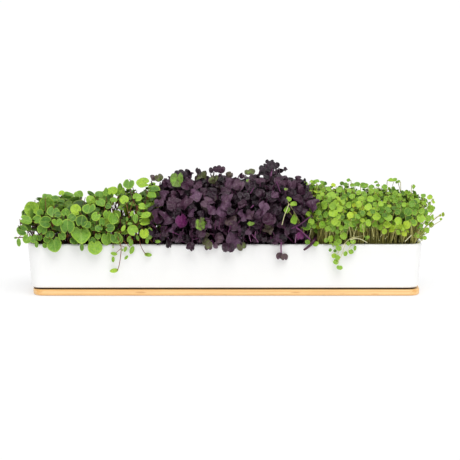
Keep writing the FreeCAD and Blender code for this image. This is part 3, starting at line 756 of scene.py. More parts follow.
# Leaves of the round-leaf stand that the photograph shows, in millimetres: across, height, width, outline
# height, tint in hundredths and where the tip points, in degrees clockwise from up
shown_round = [
    (-205, 94, 17, 17, 80, -22), (-190, 99, 17, 17, 58, 170), (-183, 92, 14, 8, 45, 190),
    (-212, 82, 13, 8, 60, 100), (-191, 80, 10, 14, 34, -90), (-200, 82, 10, 8, 55, 60),
    (-216, 71, 12, 12, 40, -75), (-179, 78, 13, 6, 60, 180), (-170, 90, 9, 9, 55, 0), (-211, 62, 10, 9, 62, 200),
    (-204, 62, 10, 9, 50, 160), (-195, 72, 10, 11, 50, 20), (-198, 63, 7, 6, 45, 180), (-190, 61, 8, 7, 50, 200),
    (-192, 55, 6, 6, 62, 190), (-182, 56, 17, 16, 55, 170), (-201, 56, 8, 4, 45, 180), (-174, 65, 9, 8, 50, 150),
    (-174, 111, 7, 5, 85, 0), (-168, 107, 15, 8, 45, 30), (-156, 109, 11, 8, 62, -30),
    (-143, 110, 10, 4, 22, -60), (-134, 109, 11, 8, 50, 0), (-143, 103, 10, 11, 78, -20),
    (-133, 101, 11, 8, 55, 150), (-159, 93, 11, 12, 88, -60), (-145, 94, 15, 7, 50, 180),
    (-138, 86, 10, 9, 70, 210), (-126, 88, 9, 10, 66, 200), (-120, 84, 11, 13, 60, 190),
    (-153, 81, 13, 13, 20, 10), (-168, 75, 16, 16, 44, 0), (-154, 67, 22, 12, 62, 180), (-131, 80, 7, 9, 45, 0),
    (-126, 62, 12, 14, 62, 170), (-139, 53, 16, 14, 76, 175), (-117, 63, 13, 11, 42, 150),
    (-120, 53, 3, 3, 90, 180), (-153, 53, 4, 9, 55, 180), (-120, 112, 12, 8, 84, 0), (-127, 112, 3, 10, 60, 0),
    (-136, 65, 7, 6, 55, 180), (-103, 121, 13, 8, 50, 180), (-88, 121, 15, 9, 84, -90), (-78, 120, 8, 5, 68, 80),
    (-112, 116, 4, 12, 70, 0), (-108, 104, 10, 8, 82, -20), (-94, 106, 10, 8, 72, 40), (-77, 113, 14, 5, 32, 80),
    (-79, 108, 10, 5, 62, 120), (-89, 97, 9, 6, 78, 90), (-100, 89, 6, 7, 76, 30), (-96, 84, 4, 11, 55, 180),
    (-86, 86, 13, 5, 80, 80), (-86, 80, 13, 7, 86, 70), (-109, 73, 8, 8, 80, 30), (-99, 71, 12, 11, 75, -40),
    (-87, 68, 11, 11, 93, 175), (-103, 62, 7, 8, 75, 200), (-81, 68, 4, 14, 50, 180), (-101, 58, 9, 4, 55, 180),
    (-114, 61, 9, 10, 34, 180), (-102, 78, 6, 5, 60, 90), (-105, 83, 5, 5, 50, 0), (-73, 59, 7, 3, 62, 90),
    (-119, 103, 8, 5, 60, 60), (-115, 111, 7, 7, 70, -20), (-109, 113, 8, 7, 80, 0), (-125, 97, 7, 6, 30, 120),
    (-163, 85, 10, 8, 35, 40), (-178, 88, 8, 7, 25, 90), (-187, 67, 10, 8, 30, 0), (-161, 60, 10, 6, 40, 180),
    (-147, 77, 8, 8, 35, 100), (-142, 60, 8, 8, 40, 150), (-135, 73, 8, 7, 38, -30), (-123, 74, 10, 10, 30, 90),
    (-92, 89, 7, 6, 35, 120), (-94, 63, 7, 6, 50, 160), (-83, 98, 8, 7, 40, 60), (-84, 60, 7, 4, 60, 180),
    (-197, 90, 8, 8, 50, -30), (-189, 107, 12, 6, 55, 20), (-181, 104, 11, 6, 40, 60), (-223, 63, 4, 3, 60, -90),
    (-220, 58, 3, 10, 55, 180),
]
# Leaves of its sprigs that hang over the rim, and the stems that show, which carry them
trailing_round = [
    (-119, 46, 8, 5, 75, -80), (-120, 40, 4, 7, 72, 180), (-119, 28, 10, 6, 85, -100), (-106, 42, 6, 6, 75, -140),
    (-100, 50, 5, 10, 72, 200), (-107, 51, 5, 7, 78, 200), (-83, 45, 9, 4, 70, 100), (-110, 50, 3, 3, 80, 180),
]
stems_round = [
    (9, 60, -115, 64, -111, 54, -112, 43, -114, 31, -116, 28), (7, 60, -111, 52, -117, 47),
    (7, 75, -113, 55, -107, 53), (7, 70, -109, 60, -102, 53), (8, 45, -92, 62, -91, 55, -87, 47, -84, 45),
    (11, 25, -102, 116, -99, 104, -93, 92), (6, 50, -223, 64, -220, 63, -217, 66), (8, 20, -149, 106, -151, 98),
    (8, 20, -116, 86, -112, 79),
]
# Gaps that show the white behind the stand, in millimetres: across, height and radius
gaps = [
    (-182, 99, 2), (-149, 101, 3), (-118, 103, 4), (-123, 94, 2), (-90, 115, 3), (-208, 75, 5), (-198, 88, 1),
    (-99, 90, 1),
]
random = np.random.default_rng(11)
round_stalks, round_blades = Growth(), Growth()
round_pattern = leaf_pattern(round_outline, spokes=20, rings=(0.4, 0.8, 1.0))
oval_pattern = leaf_pattern(oval_outline, spokes=14, rings=(0.5, 0.85, 1.0))
stem_nodes = main_stems(
    round_stalks, "roundleaf", random, pitch=0.0068, radius=0.0006, spread=1.45, lean=1.2,
    top_share=0.8, tints=(0.0, 0.6), painted_shade=0.4,
)
small_from, small_leaf, little_leaf = -115, 9, 5
stalk_drop, stalk_radius, stalk_end = 0.012, 0.0005, 0.0004
covered = []
for x, z, wide, high, tint, tip in shown_round:
    hand = 1 if random.random() < 0.5 else -1
    oval = min(wide, high) < little_leaf or x > small_from and max(wide, high) < small_leaf
    pattern = oval_pattern if oval else round_pattern
    facing, along = seen_pose(*((1, 1) if oval else (wide, high)), math.radians(tip), hand)
    size, start = seen_leaf(covered, x, z, wide, high, along)
    bend = drawn(random, (-0.12, 0.16), (0, 0.25), (-0.2, 0.05), 0.035, phases)
    grow_leaf(round_blades, pattern, start, along, facing, size, bend, tint / 100, 0)
    stalk = stalk_from(stem_nodes, start, stalk_drop, random)
    grow_stem(round_stalks, stalk, stalk_radius, stalk_end, random.uniform(0.2, 0.9), 0)
proud, bend = 0.003, (0.04, 0.2, -0.1, 0.02, 0)
for x, z, wide, high, tint, tip in trailing_round:
    facing, along = seen_pose(1, 1, math.radians(tip), 1)
    size = max(wide, high) * mm
    start = seen_place(x * mm, z * mm, proud) - along * size * 0.5
    grow_leaf(round_blades, oval_pattern, start, along, facing, size, bend, tint / 100, 0)
seen_stems(round_stalks, stems_round)
ends, front, leaf = (1, 0), (0.65, 0.85), 0.007
fall, small_side, small_share, oval_share = 3.2, -0.12, 0.75, 0.35
stalk_drop, stalk_radius = 0.014, 0.00045
for depths, count in (((0.84, 0.97), 280), ((0.45, 0.84), 320)):
    for spot, way, share in sown_places("roundleaf", count, random, ends, depths, front, covered, gaps, leaf):
        shade = painted_depth_shade(share, fall, random)
        smaller = spot[0] > small_side
        size = random.uniform(0.010, 0.0165) * (small_share if smaller else 1.0)
        facing = unit(0.7 * way + 0.45 * up + random.normal(0, 0.5, 3))
        along = random.normal(0, 1, 3) - up * 0.3
        along = unit(along - facing * np.dot(along, facing))
        start = spot - along * size * 0.5
        tint = np.clip(random.normal(0.62 if smaller else 0.52, 0.17), 0.05, 0.95)
        bend = drawn(random, (-0.12, 0.16), (0, 0.3), (-0.2, 0.04), (0, 0.05))
        pattern = oval_pattern if smaller and random.random() < oval_share else round_pattern
        bend += drawn(random, phases)
        grow_leaf(round_blades, pattern, start, along, facing, size, bend, tint, shade)
        stalk = stalk_from(stem_nodes, start, stalk_drop, random)
        grow_stem(round_stalks, stalk, stalk_radius, stalk_end, random.uniform(0.1, 0.9), shade * 0.7)

round_green = leaf_skin(
    "round_leaf_skin",
    [(0.0, "#2C4A18"), (0.25, "#467426"), (0.5, "#62932E"), (0.75, "#88B637"), (1.0, "#C0E03C")],
    vein="#B0CC60", rim="#B4D84C", rim_share=0.7, underside="#5E8A40", ribs=26.0,
    roughness=0.36, gloss=0.45, mottle=0.46, crumple_size=0.0022, relief=0.0007,
)
red_brown = stem_skin(
    "red_brown_stem", [(0.0, "#32160C"), (0.3, "#562413"), (0.6, "#80402A"), (1.0, "#8A7A3C")]
)
replaced = ("roundleaf_stem_mass", "roundleaf_stems", "roundleaf_trailing_stems")
round_stalks.piece("roundleaf_stalks", red_brown, "roundleaf_stem", *replaced)
replaced = ("roundleaf_canopy", "roundleaf_leaves", "roundleaf_trailing_leaflets")
round_blades.piece("roundleaf_blades", round_green, "roundleaf_leaf", *replaced)


# Radish stand, in the middle: magenta stems, each with two heart-shaped seed leaves on short stalks.
# The leaves are dark purple, some greenish, and the stand is the tallest and densest of the three.
def heart_outline(angle):
    """A broad heart with its cleft at the far end, drawn in towards its stalk."""
    swell, cleft, cleft_width, waist, waist_width = 0.12, 0.42, 0.36, 0.14, 0.8
    cleft *= math.exp(-((min(angle, math.tau - angle) / cleft_width) ** 2))
    waist *= math.exp(-((abs(math.pi - angle) / waist_width) ** 2))
    return 0.5 * (1 + swell * math.sin(angle) ** 2 - cleft) * (1 - waist)


def lone_stem(growth, stand, crown, radius, random, tint, shade, squeeze, sides=5):
    """A single stem from the mix to a crown, straight at its foot and leaning out above. squeeze draws its foot
    in towards the bed's middle line."""
    stray_x, stray_y, beside, root, bow, taper = 0.006, 0.002, 0.005, 0.001, 0.0025, 0.8
    bed_low, bed_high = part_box(stand + "_stem_mass")
    foot_x = np.clip(crown[0] + random.normal(0, stray_x), bed_low.x, bed_high.x)
    foot_y = np.clip(crown[1] * squeeze + random.normal(0, stray_y), bed_low.y - beside, bed_high.y + beside)
    foot = np.array([foot_x, foot_y, mix_top - root])
    control = foot * [0.7, 0.8, 0.5] + crown * [0.3, 0.2, 0.5]
    control[:2] += random.normal(0, bow, 2)
    grow_stem(growth, curve(foot, control, crown, 6), radius, radius * taper, tint, shade, sides)


# Leaves of the radish stand that the photograph shows, as above but without their tips
shown_radish = [
    (-78, 127, 6, 6, 78), (-71, 127, 8, 8, 86), (-60, 125, 6, 6, 60), (-65, 121, 7, 7, 50), (-50, 133, 10, 6, 12),
    (-42, 132, 10, 8, 20), (-42, 120, 12, 11, 50), (-30, 134, 5, 7, 20), (-27, 128, 14, 8, 84),
    (-33, 111, 17, 7, 66), (-30, 119, 10, 6, 50), (-65, 108, 8, 10, 58), (-71, 101, 11, 8, 56),
    (-56, 109, 6, 7, 48), (-53, 99, 11, 14, 42), (-45, 100, 11, 15, 50), (-36, 96, 9, 10, 20),
    (-37, 90, 8, 9, 62), (-38, 79, 10, 11, 45), (-63, 85, 12, 15, 55), (-73, 86, 10, 13, 50),
    (-57, 74, 8, 10, 60), (-66, 70, 11, 10, 40), (-76, 69, 9, 10, 18), (-33, 67, 12, 6, 50), (-61, 57, 5, 10, 4),
    (-36, 52, 4, 6, 5), (-11, 136, 7, 6, 35), (-6, 136, 10, 8, 46), (-12, 125, 10, 10, 84), (3, 130, 8, 7, 80),
    (4, 121, 11, 10, 55), (13, 119, 14, 12, 70), (16, 129, 7, 6, 40), (-27, 78, 10, 13, 88),
    (-22, 64, 10, 10, 81), (16, 54, 10, 8, 84), (-1, 115, 14, 7, 36), (0, 104, 12, 13, 68), (-3, 91, 11, 12, 64),
    (-15, 93, 10, 10, 60), (-20, 101, 10, 10, 70), (17, 97, 12, 7, 40), (5, 82, 13, 8, 76), (18, 87, 10, 11, 62),
    (25, 88, 8, 10, 70), (-18, 79, 7, 10, 64), (-8, 63, 11, 10, 72), (8, 62, 17, 12, 66), (-1, 97, 10, 10, 67),
    (2, 53, 14, 8, 30), (-20, 57, 11, 8, 84), (-19, 53, 8, 5, 76), (-11, 55, 7, 5, 70), (38, 137, 8, 5, 8),
    (44, 140, 10, 6, 6), (48, 141, 8, 6, 10), (53, 140, 7, 6, 12), (44, 144, 6, 4, 5), (48, 144, 5, 3, 10),
    (40, 134, 10, 5, 10), (47, 136, 10, 4, 6), (61, 128, 11, 4, 35), (75, 125, 7, 7, 42), (81, 124, 7, 5, 10),
    (68, 121, 11, 8, 52), (61, 122, 9, 6, 46), (36, 126, 11, 6, 50), (55, 123, 10, 8, 52), (77, 115, 10, 11, 46),
    (85, 114, 7, 7, 48), (77, 104, 8, 10, 40), (89, 109, 6, 6, 42), (40, 97, 11, 10, 66), (36, 90, 10, 10, 60),
    (45, 82, 16, 12, 50), (44, 72, 13, 7, 80), (33, 77, 10, 9, 25), (53, 60, 8, 7, 55), (60, 60, 8, 7, 52),
    (91, 97, 5, 15, 55), (37, 111, 10, 10, 30), (25, 118, 12, 8, 22), (48, 107, 11, 10, 20), (60, 103, 8, 8, 18),
    (19, 108, 11, 10, 16), (53, 93, 10, 10, 14), (79, 93, 8, 10, 30), (69, 111, 8, 8, 25), (27, 128, 11, 6, 30),
    (9, 72, 10, 8, 15), (-27, 88, 8, 8, 22), (-15, 111, 11, 8, 20), (-23, 113, 10, 7, 35), (-54, 89, 8, 10, 12),
    (-49, 65, 10, 8, 8), (-42, 62, 10, 7, 10), (21, 70, 10, 10, 12), (38, 63, 10, 8, 14), (31, 60, 7, 5, 30),
    (67, 73, 8, 8, 16), (46, 60, 8, 7, 10), (-28, 61, 8, 7, 12), (-78, 95, 6, 10, 20), (-80, 79, 6, 8, 15),
    (-70, 62, 8, 8, 12), (-51, 125, 14, 15, 91), (-47, 81, 10, 14, 120), (25, 134, 11, 6, 86),
    (23, 124, 4, 3, 95), (26, 78, 8, 3, 90), (-16, 135, 5, 6, 30), (63, 115, 4, 3, 95), (78, 65, 8, 8, 120),
]
trailing_radish = [
    (56, 44, 7, 7, 74), (61, 43, 7, 7, 75),
]
stems_radish = [
    (11, 76, -57, 69, -51, 67, -47, 63), (9, 86, -36, 61, -28, 63), (12, 55, 13, 129, 12, 123),
    (13, 45, -11, 82, -12, 72), (13, 45, -6, 84, -8, 72), (12, 60, 5, 76, 2, 69), (8, 84, 23, 73, 24, 65, 26, 59),
    (8, 84, 31, 70, 30, 64, 34, 58), (9, 80, 27, 67, 30, 63), (11, 75, 29, 98, 26, 95),
    (11, 60, 29, 116, 25, 110), (15, 75, 49, 138, 47, 129), (13, 55, 53, 123, 57, 112),
    (14, 74, 74, 74, 81, 69, 89, 61), (9, 90, 74, 67, 73, 58), (16, 75, 58, 62, 58, 52, 58, 47),
    (44, 40, 97, 68, 94, 62, 89, 55, 82, 50), (14, 60, 69, 73, 78, 77, 89, 86),
]
gaps = [
    (-42, 112, 2), (-21, 116, 1), (-67, 115, 1), (33, 129, 2), (62, 109, 1), (56, 85, 1), (76, 86, 2),
]
random = np.random.default_rng(23)
radish_stalks, radish_blades = Growth(), Growth()
heart_pattern = leaf_pattern(heart_outline, spokes=16, rings=(0.35, 0.7, 1.0))
heart_width = 1.22
stem_radius, stalk_radius, stalk_end, lip_inset = 0.0009, 0.0008, 0.0006, 0.003
bright_tint, rim_zone, crest_zone = 85, 66, 126
limp_share, proud, crown_depth, twin_size = 0.35, 0.004, 0.004, 0.85
for x, z, wide, high, tint in shown_radish:
    high *= heart_width
    bright = tint > bright_tint
    hand = 1 if random.random() < 0.5 else -1
    turn = random.uniform(-1.2, 1.2) * (0.3 if bright else 1) + (math.pi if z < rim_zone else 0)
    facing, along = seen_pose(wide, high, turn, hand)
    size, start = seen_leaf(covered, x, z, wide, high, along, proud if bright else 0)
    limp = limp_share if z < 60 or z > 132 or bright else 1.0
    bend = [share * limp for share in drawn(random, (-0.25, 0.1), (0.0, 0.75), (-0.45, 0.1), 0.15)]
    bend += drawn(random, phases)
    grow_leaf(radish_blades, heart_pattern, start, along, facing, size, bend, tint / 100, 0)
    crown = start + unit(-along * 0.5 - facing * 0.6 - up * 0.4) * crown_depth
    paired = rim_zone < z < crest_zone and -72 < x < 80
    if paired:
        back = unit(-along * 0.8 - facing * 0.5 + up * 0.2)
        over = unit(facing * 0.6 - along * 0.3 + up * 0.4)
        twin_tint = min(max(tint - 12, 5), 60) / 100
        # The twin lies behind the shown leaf and takes a little painted shade
        grow_leaf(radish_blades, heart_pattern, crown, back, over, size * twin_size, bend, twin_tint, 0.2)
    if z > wall_zone:
        # The stem and stalk under the leaf take a little painted shade
        stem_tint = random.uniform(0.0, 0.5)
        lone_stem(radish_stalks, "radish", crown, stem_radius, random, stem_tint, shade=0.1, squeeze=0.5)
        stalk = curve(crown, (crown + start) / 2, start, 3)
        grow_stem(radish_stalks, stalk, stalk_radius, stalk_end, 0.4, 0.1)
    else:
        lip = np.array([start[0], trough_low.y + lip_inset, rim_height + lip_inset])
        stem_tint = random.uniform(0.2, 0.9)
        lone_stem(radish_stalks, "radish", lip, stem_radius, random, stem_tint, shade=0, squeeze=0.7)
        stalk = curve(lip, lip * past_lip, start, 4)
        grow_stem(radish_stalks, stalk, stalk_radius, stalk_end, 0.6, 0)
proud, bend = 0.003, (0.1, 0, 0, 0, 0)
for x, z, wide, high, tint in trailing_radish:
    facing, along = seen_pose(wide, high * heart_width, math.pi, 1)
    size = high * heart_width * mm
    start = seen_place(x * mm, z * mm, proud) - along * size * 0.45
    grow_leaf(radish_blades, heart_pattern, start, along, facing, size, bend, tint / 100, 0)
seen_stems(radish_stalks, stems_radish)
ends, front, leaf = (0, 0), (0.7, 0.9), 0.01
stem_radius, stalk_radius = 0.0008, 0.0007
for depths, count in (((0.86, 0.98), 230), ((0.4, 0.86), 190)):
    for spot, way, share in sown_places("radish", count, random, ends, depths, front, covered, gaps, leaf):
        shade = painted_depth_shade(share, fall, random)
        crown = spot - way * crown_depth
        tint = random.uniform(0.0, 0.45)
        lone_stem(radish_stalks, "radish", crown, stem_radius, random, tint, shade=shade * 0.6, squeeze=0.52)
        axis = unit(0.7 * way + 0.6 * up + random.normal(0, 0.35, 3))
        spin = unit(np.cross(axis, random.normal(0, 1, 3)))
        leaf_tint = np.clip(random.normal(0.38, 0.22), 0.0, 0.76)
        for turn in (1, -1):
            out = unit(spin * turn + axis * random.uniform(0.1, 0.7))
            start = crown + out * 0.003
            stalk = curve(crown, crown + axis * 0.001, start, 3)
            grow_stem(radish_stalks, stalk, stalk_radius, stalk_end, tint, shade * 0.6)
            facing = unit(axis - out * np.dot(axis, out) + random.normal(0, 0.2, 3))
            bend = drawn(random, (-0.25, 0.1), (-0.1, 0.75), (-0.5, 0.05), 0.16)
            size = random.uniform(0.0095, 0.0155)
            bend += drawn(random, phases)
            grow_leaf(radish_blades, heart_pattern, start, out, facing, size, bend, leaf_tint, shade)

purple_skin = leaf_skin(
    "purple_leaf_skin",
    [
        (0.0, "#0C0508"), (0.25, "#261220"), (0.5, "#46243A"), (0.66, "#664460"),
        (0.78, "#5A4A44"), (0.86, "#5E6636"), (0.93, "#8CC03C"), (0.98, "#6A1C5A"),
    ],
    vein="#74506A", rim="#5E4858", rim_share=0.3, underside="#4E2A44", ribs=22.0,
    roughness=0.34, gloss=0.6, mottle=0.2, crumple_size=0.0032, relief=0.0013,
)
magenta_stem = stem_skin(
    "magenta_stem", [(0.0, "#1E0A18"), (0.35, "#3E1430"), (0.6, "#602C56"), (0.8, "#864478"), (1.0, "#CE98BC")]
)
replaced = ("radish_stem_mass", "radish_stems", "radish_trailing_stems")
radish_stalks.piece("radish_stalks", magenta_stem, "radish_stem", *replaced)
replaced = ("radish_canopy", "radish_leaves", "radish_trailing_leaflets")
radish_blades.piece("radish_blades", purple_skin, "radish_leaf", *replaced)


# Cress stand, at the right: hair-thin pale stems, packed close, under a cloud of small round leaflets.
# Between the rim and the leaflets the stems show, pale in front and olive brown where they crowd.
def leaflet_outline(angle):
    """A small round leaflet, slightly angular, notched at its tip and drawn in at its stalk."""
    ripple, ripples, notch, notch_width, waist, waist_width = 0.06, 5, 0.16, 0.35, 0.2, 0.6
    notch *= math.exp(-((min(angle, math.tau - angle) / notch_width) ** 2))
    waist *= math.exp(-((abs(math.pi - angle) / waist_width) ** 2))
    return 0.5 * (1 + ripple * math.cos(ripples * angle) - notch) * (1 - waist)


# Leaflets of the cress stand that the photograph shows, as above
shown_cress = [
    (104, 98, 8, 10, 60), (116, 100, 8, 9, 76), (120, 94, 8, 8, 76), (111, 108, 11, 8, 66), (129, 98, 7, 8, 60),
    (140, 99, 8, 8, 76), (150, 96, 9, 8, 76), (152, 104, 8, 7, 70), (113, 89, 11, 9, 76), (118, 86, 7, 7, 70),
    (131, 87, 8, 8, 88), (111, 79, 10, 10, 60), (117, 79, 9, 8, 76), (102, 77, 7, 8, 66), (121, 74, 6, 7, 70),
    (118, 71, 6, 7, 55), (128, 78, 7, 8, 42), (133, 78, 7, 8, 60), (136, 72, 7, 8, 66), (139, 86, 7, 5, 50),
    (150, 79, 7, 8, 70), (159, 86, 8, 10, 76), (160, 72, 7, 7, 96), (111, 62, 7, 8, 72), (124, 65, 9, 7, 66),
    (129, 67, 7, 7, 60), (119, 59, 7, 7, 62), (126, 120, 6, 4, 35), (122, 121, 5, 5, 30), (129, 124, 5, 3, 50),
    (138, 120, 8, 5, 40), (113, 119, 6, 4, 92), (104, 121, 5, 5, 30), (145, 118, 9, 6, 50), (150, 64, 4, 4, 55),
    (150, 69, 5, 4, 30), (157, 106, 7, 7, 60), (170, 77, 9, 7, 82), (176, 73, 7, 10, 86), (171, 85, 10, 7, 60),
    (182, 81, 8, 9, 76), (191, 77, 9, 10, 86), (187, 74, 8, 7, 80), (189, 70, 9, 7, 50), (184, 69, 7, 5, 86),
    (198, 70, 7, 7, 100), (202, 72, 7, 6, 55), (207, 70, 8, 9, 76), (203, 65, 4, 4, 60), (210, 63, 5, 5, 66),
    (217, 77, 6, 7, 76), (217, 85, 4, 7, 70), (216, 94, 8, 9, 66), (219, 95, 4, 4, 70), (215, 106, 7, 5, 80),
    (218, 102, 4, 6, 80), (208, 108, 6, 5, 50), (226, 87, 3, 3, 80), (229, 88, 3, 5, 90), (227, 83, 3, 3, 75),
    (206, 92, 7, 7, 60), (206, 84, 10, 9, 70), (211, 90, 5, 7, 30), (192, 91, 10, 10, 30), (181, 91, 7, 7, 28),
    (171, 93, 8, 6, 32), (196, 99, 8, 7, 40), (177, 124, 8, 3, 60), (181, 123, 6, 3, 50), (158, 122, 5, 2, 50),
    (197, 117, 4, 7, 70), (186, 111, 5, 6, 25), (191, 112, 4, 5, 70), (177, 113, 5, 7, 40), (167, 117, 7, 5, 50),
    (176, 116, 5, 3, 50), (163, 110, 6, 6, 62), (169, 105, 6, 6, 60), (179, 103, 6, 6, 50), (184, 105, 5, 5, 62),
    (188, 98, 6, 5, 66), (182, 97, 5, 5, 40), (196, 106, 5, 5, 66), (202, 103, 6, 5, 60), (209, 100, 5, 5, 70),
    (163, 99, 7, 6, 70), (155, 91, 6, 6, 30), (144, 90, 6, 5, 30), (125, 107, 7, 7, 40), (133, 107, 7, 6, 60),
    (140, 111, 7, 5, 66), (130, 113, 6, 5, 70), (119, 114, 7, 5, 60), (108, 115, 7, 5, 62), (100, 118, 6, 5, 60),
    (153, 113, 7, 6, 66), (146, 109, 6, 5, 50), (97, 90, 6, 7, 40), (105, 88, 6, 7, 35), (99, 68, 7, 7, 50),
    (106, 69, 6, 6, 40), (98, 106, 7, 7, 62), (92, 121, 6, 5, 62), (84, 121, 5, 4, 70), (90, 117, 5, 5, 30),
    (123, 85, 5, 5, 20), (126, 73, 6, 6, 30), (106, 60, 6, 5, 50), (199, 90, 6, 6, 50), (198, 80, 6, 6, 40),
    (212, 79, 5, 6, 60), (213, 84, 5, 5, 50), (66, 104, 6, 5, 60), (71, 99, 8, 4, 65), (64, 93, 7, 8, 50),
    (71, 83, 6, 12, 55), (85, 74, 10, 7, 35), (86, 58, 6, 5, 35), (95, 56, 7, 5, 60), (95, 123, 7, 4, 50),
    (90, 123, 4, 3, 75), (101, 122, 6, 4, 45), (133, 119, 6, 4, 55), (153, 117, 8, 4, 50), (148, 119, 5, 4, 60),
    (160, 119, 5, 3, 45), (173, 124, 7, 3, 70), (199, 69, 7, 6, 70), (204, 69, 7, 6, 60), (212, 71, 6, 7, 70),
    (206, 76, 5, 5, 55), (192, 71, 6, 6, 70),
]
trailing_cress = [
    (119, 52, 7, 6, 55), (110, 50, 4, 4, 40), (115, 49, 4, 3, 20), (114, 44, 6, 6, 75), (118, 42, 6, 6, 60),
    (116, 37, 7, 5, 60), (120, 31, 7, 4, 60), (126, 46, 5, 6, 60), (132, 48, 6, 5, 60), (129, 57, 4, 5, 60),
    (134, 59, 6, 5, 60), (136, 52, 4, 6, 55),
]
stems_cress = [
    (9, 84, 66, 99, 64, 93, 61, 86, 59, 77), (8, 80, 118, 46, 122, 53, 131, 63, 140, 64, 148, 67),
    (8, 90, 131, 61, 140, 63, 149, 58), (7, 75, 122, 70, 131, 68, 135, 62), (7, 80, 126, 57, 123, 46, 118, 36),
    (8, 60, 106, 74, 105, 59), (8, 80, 160, 68, 162, 60), (7, 70, 154, 74, 156, 64), (8, 85, 174, 68, 168, 62),
    (8, 95, 196, 66, 189, 59), (6, 85, 177, 123, 175, 118), (5, 70, 220, 85, 226, 86),
    (6, 75, 148, 80, 153, 70, 156, 61), (7, 70, 144, 77, 146, 64), (6, 70, 182, 68, 183, 59),
    (6, 75, 170, 75, 163, 64), (7, 65, 111, 73, 108, 60), (6, 75, 138, 75, 133, 60),
    (6, 80, 135, 60, 131, 53, 128, 48),
]
gaps = [
    (164, 104, 1), (190, 101, 1), (206, 75, 1), (210, 95, 2), (140, 116, 2), (146, 107, 1), (213, 86, 2),
]
random = np.random.default_rng(37)
cress_stalks, cress_blades = Growth(), Growth()
main_stems(
    cress_stalks, "cress", random, pitch=0.0026, radius=0.0008, spread=1.12, lean=0.5,
    top_share=0.8, tints=(0.0, 0.3), painted_shade=0,
)
leaflet_pattern = leaf_pattern(leaflet_outline, spokes=12, rings=(0.6, 1.0))
stem_radius, stalk_radius, root_depth = 0.00045, 0.0003, 0.0018
for x, z, wide, high, tint in shown_cress:
    hand = 1 if random.random() < 0.5 else -1
    facing, along = seen_pose(wide, high, random.uniform(-2.5, 2.5), hand)
    size, start = seen_leaf(covered, x, z, wide, high, along)
    bend = drawn(random, (-0.1, 0.15), (0, 0.4), (-0.2, 0.05), 0.05, phases)
    grow_leaf(cress_blades, leaflet_pattern, start, along, facing, size, bend, tint / 100, 0)
    crowded = 60 < z < 116 and 88 < x < 208
    for turn in (-1, 1) if crowded else ():
        aside = unit(np.cross(along, facing) * turn * 0.9 - along * 0.4 - facing * 0.45)
        over = unit(facing - aside * np.dot(facing, aside) + random.normal(0, 0.3, 3))
        beside = np.clip(tint / 100 + random.normal(-0.05, 0.1), 0, 0.95)
        root, smaller = start - facing * root_depth, size * random.uniform(0.7, 0.9)
        # The side leaflets sit behind the shown one and take a little painted shade
        grow_leaf(cress_blades, leaflet_pattern, root, aside, over, smaller, bend, beside, 0.1)
    if z > wall_zone:
        stem_tint = random.uniform(0.2, 0.8)
        lone_stem(cress_stalks, "cress", start, stem_radius, random, stem_tint, 0, squeeze=0.6, sides=4)
proud = 0.004
for x, z, wide, high, tint in trailing_cress:
    facing, along = seen_pose(wide, high, random.uniform(2.0, 4.0), 1)
    size = max(wide, high) * mm
    start = seen_place(x * mm, z * mm, proud) - along * size * 0.5
    bend = drawn(random, 0.06, 0.1, -0.1, 0.02, phases)
    grow_leaf(cress_blades, leaflet_pattern, start, along, facing, size, bend, tint / 100, 0)
seen_stems(cress_stalks, stems_cress)
ends, front, leaf = (0, 1), (0.8, 0.97), 0.006
fall, stem_radius, crown_depth, small_above, small_share = 2.5, 0.0004, 0.003, 0.094, 0.62
for depths, count in (((0.84, 0.99), 480), ((0.5, 0.84), 230)):
    for spot, way, share in sown_places("cress", count, random, ends, depths, front, covered, gaps, leaf):
        shade = painted_depth_shade(share, fall, random)
        crown = spot - way * crown_depth
        tint = random.uniform(0.0, 0.5)
        lone_stem(cress_stalks, "cress", crown, stem_radius, random, tint, shade * 0.3, squeeze=0.5, sides=4)
        axis = unit(0.8 * way + 0.5 * up + random.normal(0, 0.3, 3))
        spin = unit(np.cross(axis, random.normal(0, 1, 3)))
        leaf_tint = np.clip(random.normal(0.58, 0.2), 0.02, 0.98)
        smaller = 1.0 if spot[1] < 0 and spot[2] < small_above else small_share
        for turn in range(3):
            angle = turn * math.tau / 3 + random.uniform(-0.3, 0.3)
            other = np.cross(axis, spin)
            out = unit(math.cos(angle) * spin + math.sin(angle) * other + axis * random.uniform(0.0, 0.6))
            start = crown + out * 0.0022
            stalk = curve(crown, crown + axis * 0.0006, start, 3)
            grow_stem(cress_stalks, stalk, stalk_radius, stalk_radius, tint, shade, 3)
            facing = unit(axis - out * np.dot(axis, out) + random.normal(0, 0.25, 3))
            bend = drawn(random, (-0.05, 0.12), (0, 0.4), (-0.3, 0.05), 0.05, phases)
            size = random.uniform(0.0055, 0.0085) * smaller
            grow_leaf(cress_blades, leaflet_pattern, start, out, facing, size, bend, leaf_tint, shade)

bright_green = leaf_skin(
    "cress_leaf_skin",
    [(0.0, "#365618"), (0.25, "#528028"), (0.5, "#7AAA34"), (0.75, "#A2CA3C"), (1.0, "#D0E43C")],
    vein="#B4D060", rim="#B4D84C", rim_share=0.6, underside="#74A03C", ribs=18.0,
    roughness=0.36, gloss=0.45, mottle=0.42, crumple_size=0.0018, relief=0.0006,
)
pale_stem = stem_skin("pale_stem", [(0.0, "#8C863E"), (0.35, "#A8A254"), (0.7, "#C8C47C"), (1.0, "#F4F0CA")])
replaced = ("cress_stem_mass", "cress_stems", "cress_trailing_stems")
cress_stalks.piece("cress_stalks", pale_stem, "cress_stem", *replaced)
replaced = ("cress_canopy", "cress_leaves", "cress_trailing_leaflets")
cress_blades.piece("cress_blades", bright_green, "cress_leaf", *replaced)


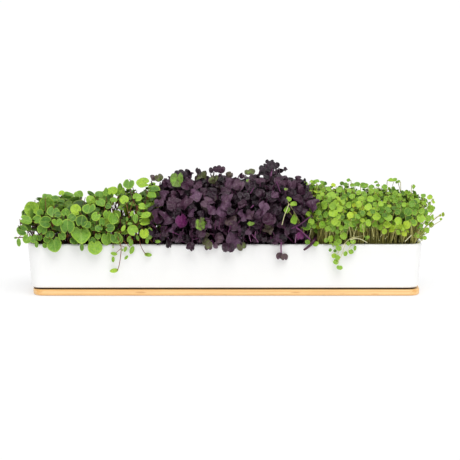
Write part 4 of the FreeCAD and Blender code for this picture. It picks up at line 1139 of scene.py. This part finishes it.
# The planter stands on a white table top in a white room, in soft light from above and from its right.
# Neither is part of the planter. The camera sees both as plain white, with the planter's faint shadow.
def white_paper():
    """Matt white paper. The camera sees it more than half as a plain glow, so the shadow on it stays faint."""
    plain_white, seen_share = 1.03, 0.6
    material, tree, shader = surface("white_paper", Roughness=0.9)
    shader.inputs["Base Color"].default_value = linear("#FAFAFA")
    glow = add(tree, "Emission", {}, ("Color", "#FFFFFF"), ("Strength", plain_white))
    path = add(tree, "LightPath", {})
    seen = add(tree, "Math", {"operation": "MULTIPLY"}, (0, path["Is Camera Ray"]), (1, seen_share))[0]
    shown = add(tree, "MixShader", {}, (0, seen), (1, shader.outputs[0]), (2, glow[0]))
    tree.links.new(shown[0], tree.nodes["Material Output"].inputs["Surface"])
    return material


tray_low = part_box("bamboo_tray")[0]
half_size, under_tray = 8.0, 0.0002
corners = [(-half_size, -half_size), (half_size, -half_size), (half_size, half_size), (-half_size, half_size)]
corners = [(x, y, tray_low.z - under_tray) for x, y in corners]
floor = mesh_piece("table_top", corners, [(0, 1, 2, 3)], white_paper(), smooth=False)
floor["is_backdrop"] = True

world = bpy.data.worlds.new("white_room")
bpy.context.scene.world = world
world.use_nodes = True
room = world.node_tree
room.nodes.clear()
room_strength = 0.66
room_light = add(room, "Background", {}, ("Color", "#FFFFFF"), ("Strength", room_strength))
room_seen = add(room, "Background", {}, ("Color", "#FFFFFF"), ("Strength", 1.0))
path = add(room, "LightPath", {})
shown = add(room, "MixShader", {}, (0, path["Is Camera Ray"]), (1, room_light[0]), (2, room_seen[0]))
add(room, "OutputWorld", {}, ("Surface", shown[0]))

sun = bpy.data.objects.new("soft_sun", bpy.data.lights.new("soft_sun", "SUN"))
bpy.context.scene.collection.objects.link(sun)
sun_height, sun_side = math.radians(60), math.radians(15)
across, forward = math.sin(sun_side) * math.cos(sun_height), math.cos(sun_side) * math.cos(sun_height)
sun.data.energy = 1.55
sun.data.angle = math.radians(44)
sun.rotation_euler = Vector((across, -forward, math.sin(sun_height))).to_track_quat("Z", "Y").to_euler()

bpy.context.scene.view_settings.view_transform = "Standard"

corners = {"cad": [list(c) for c in cad_bounds], "visual": [list(c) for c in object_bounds()]}
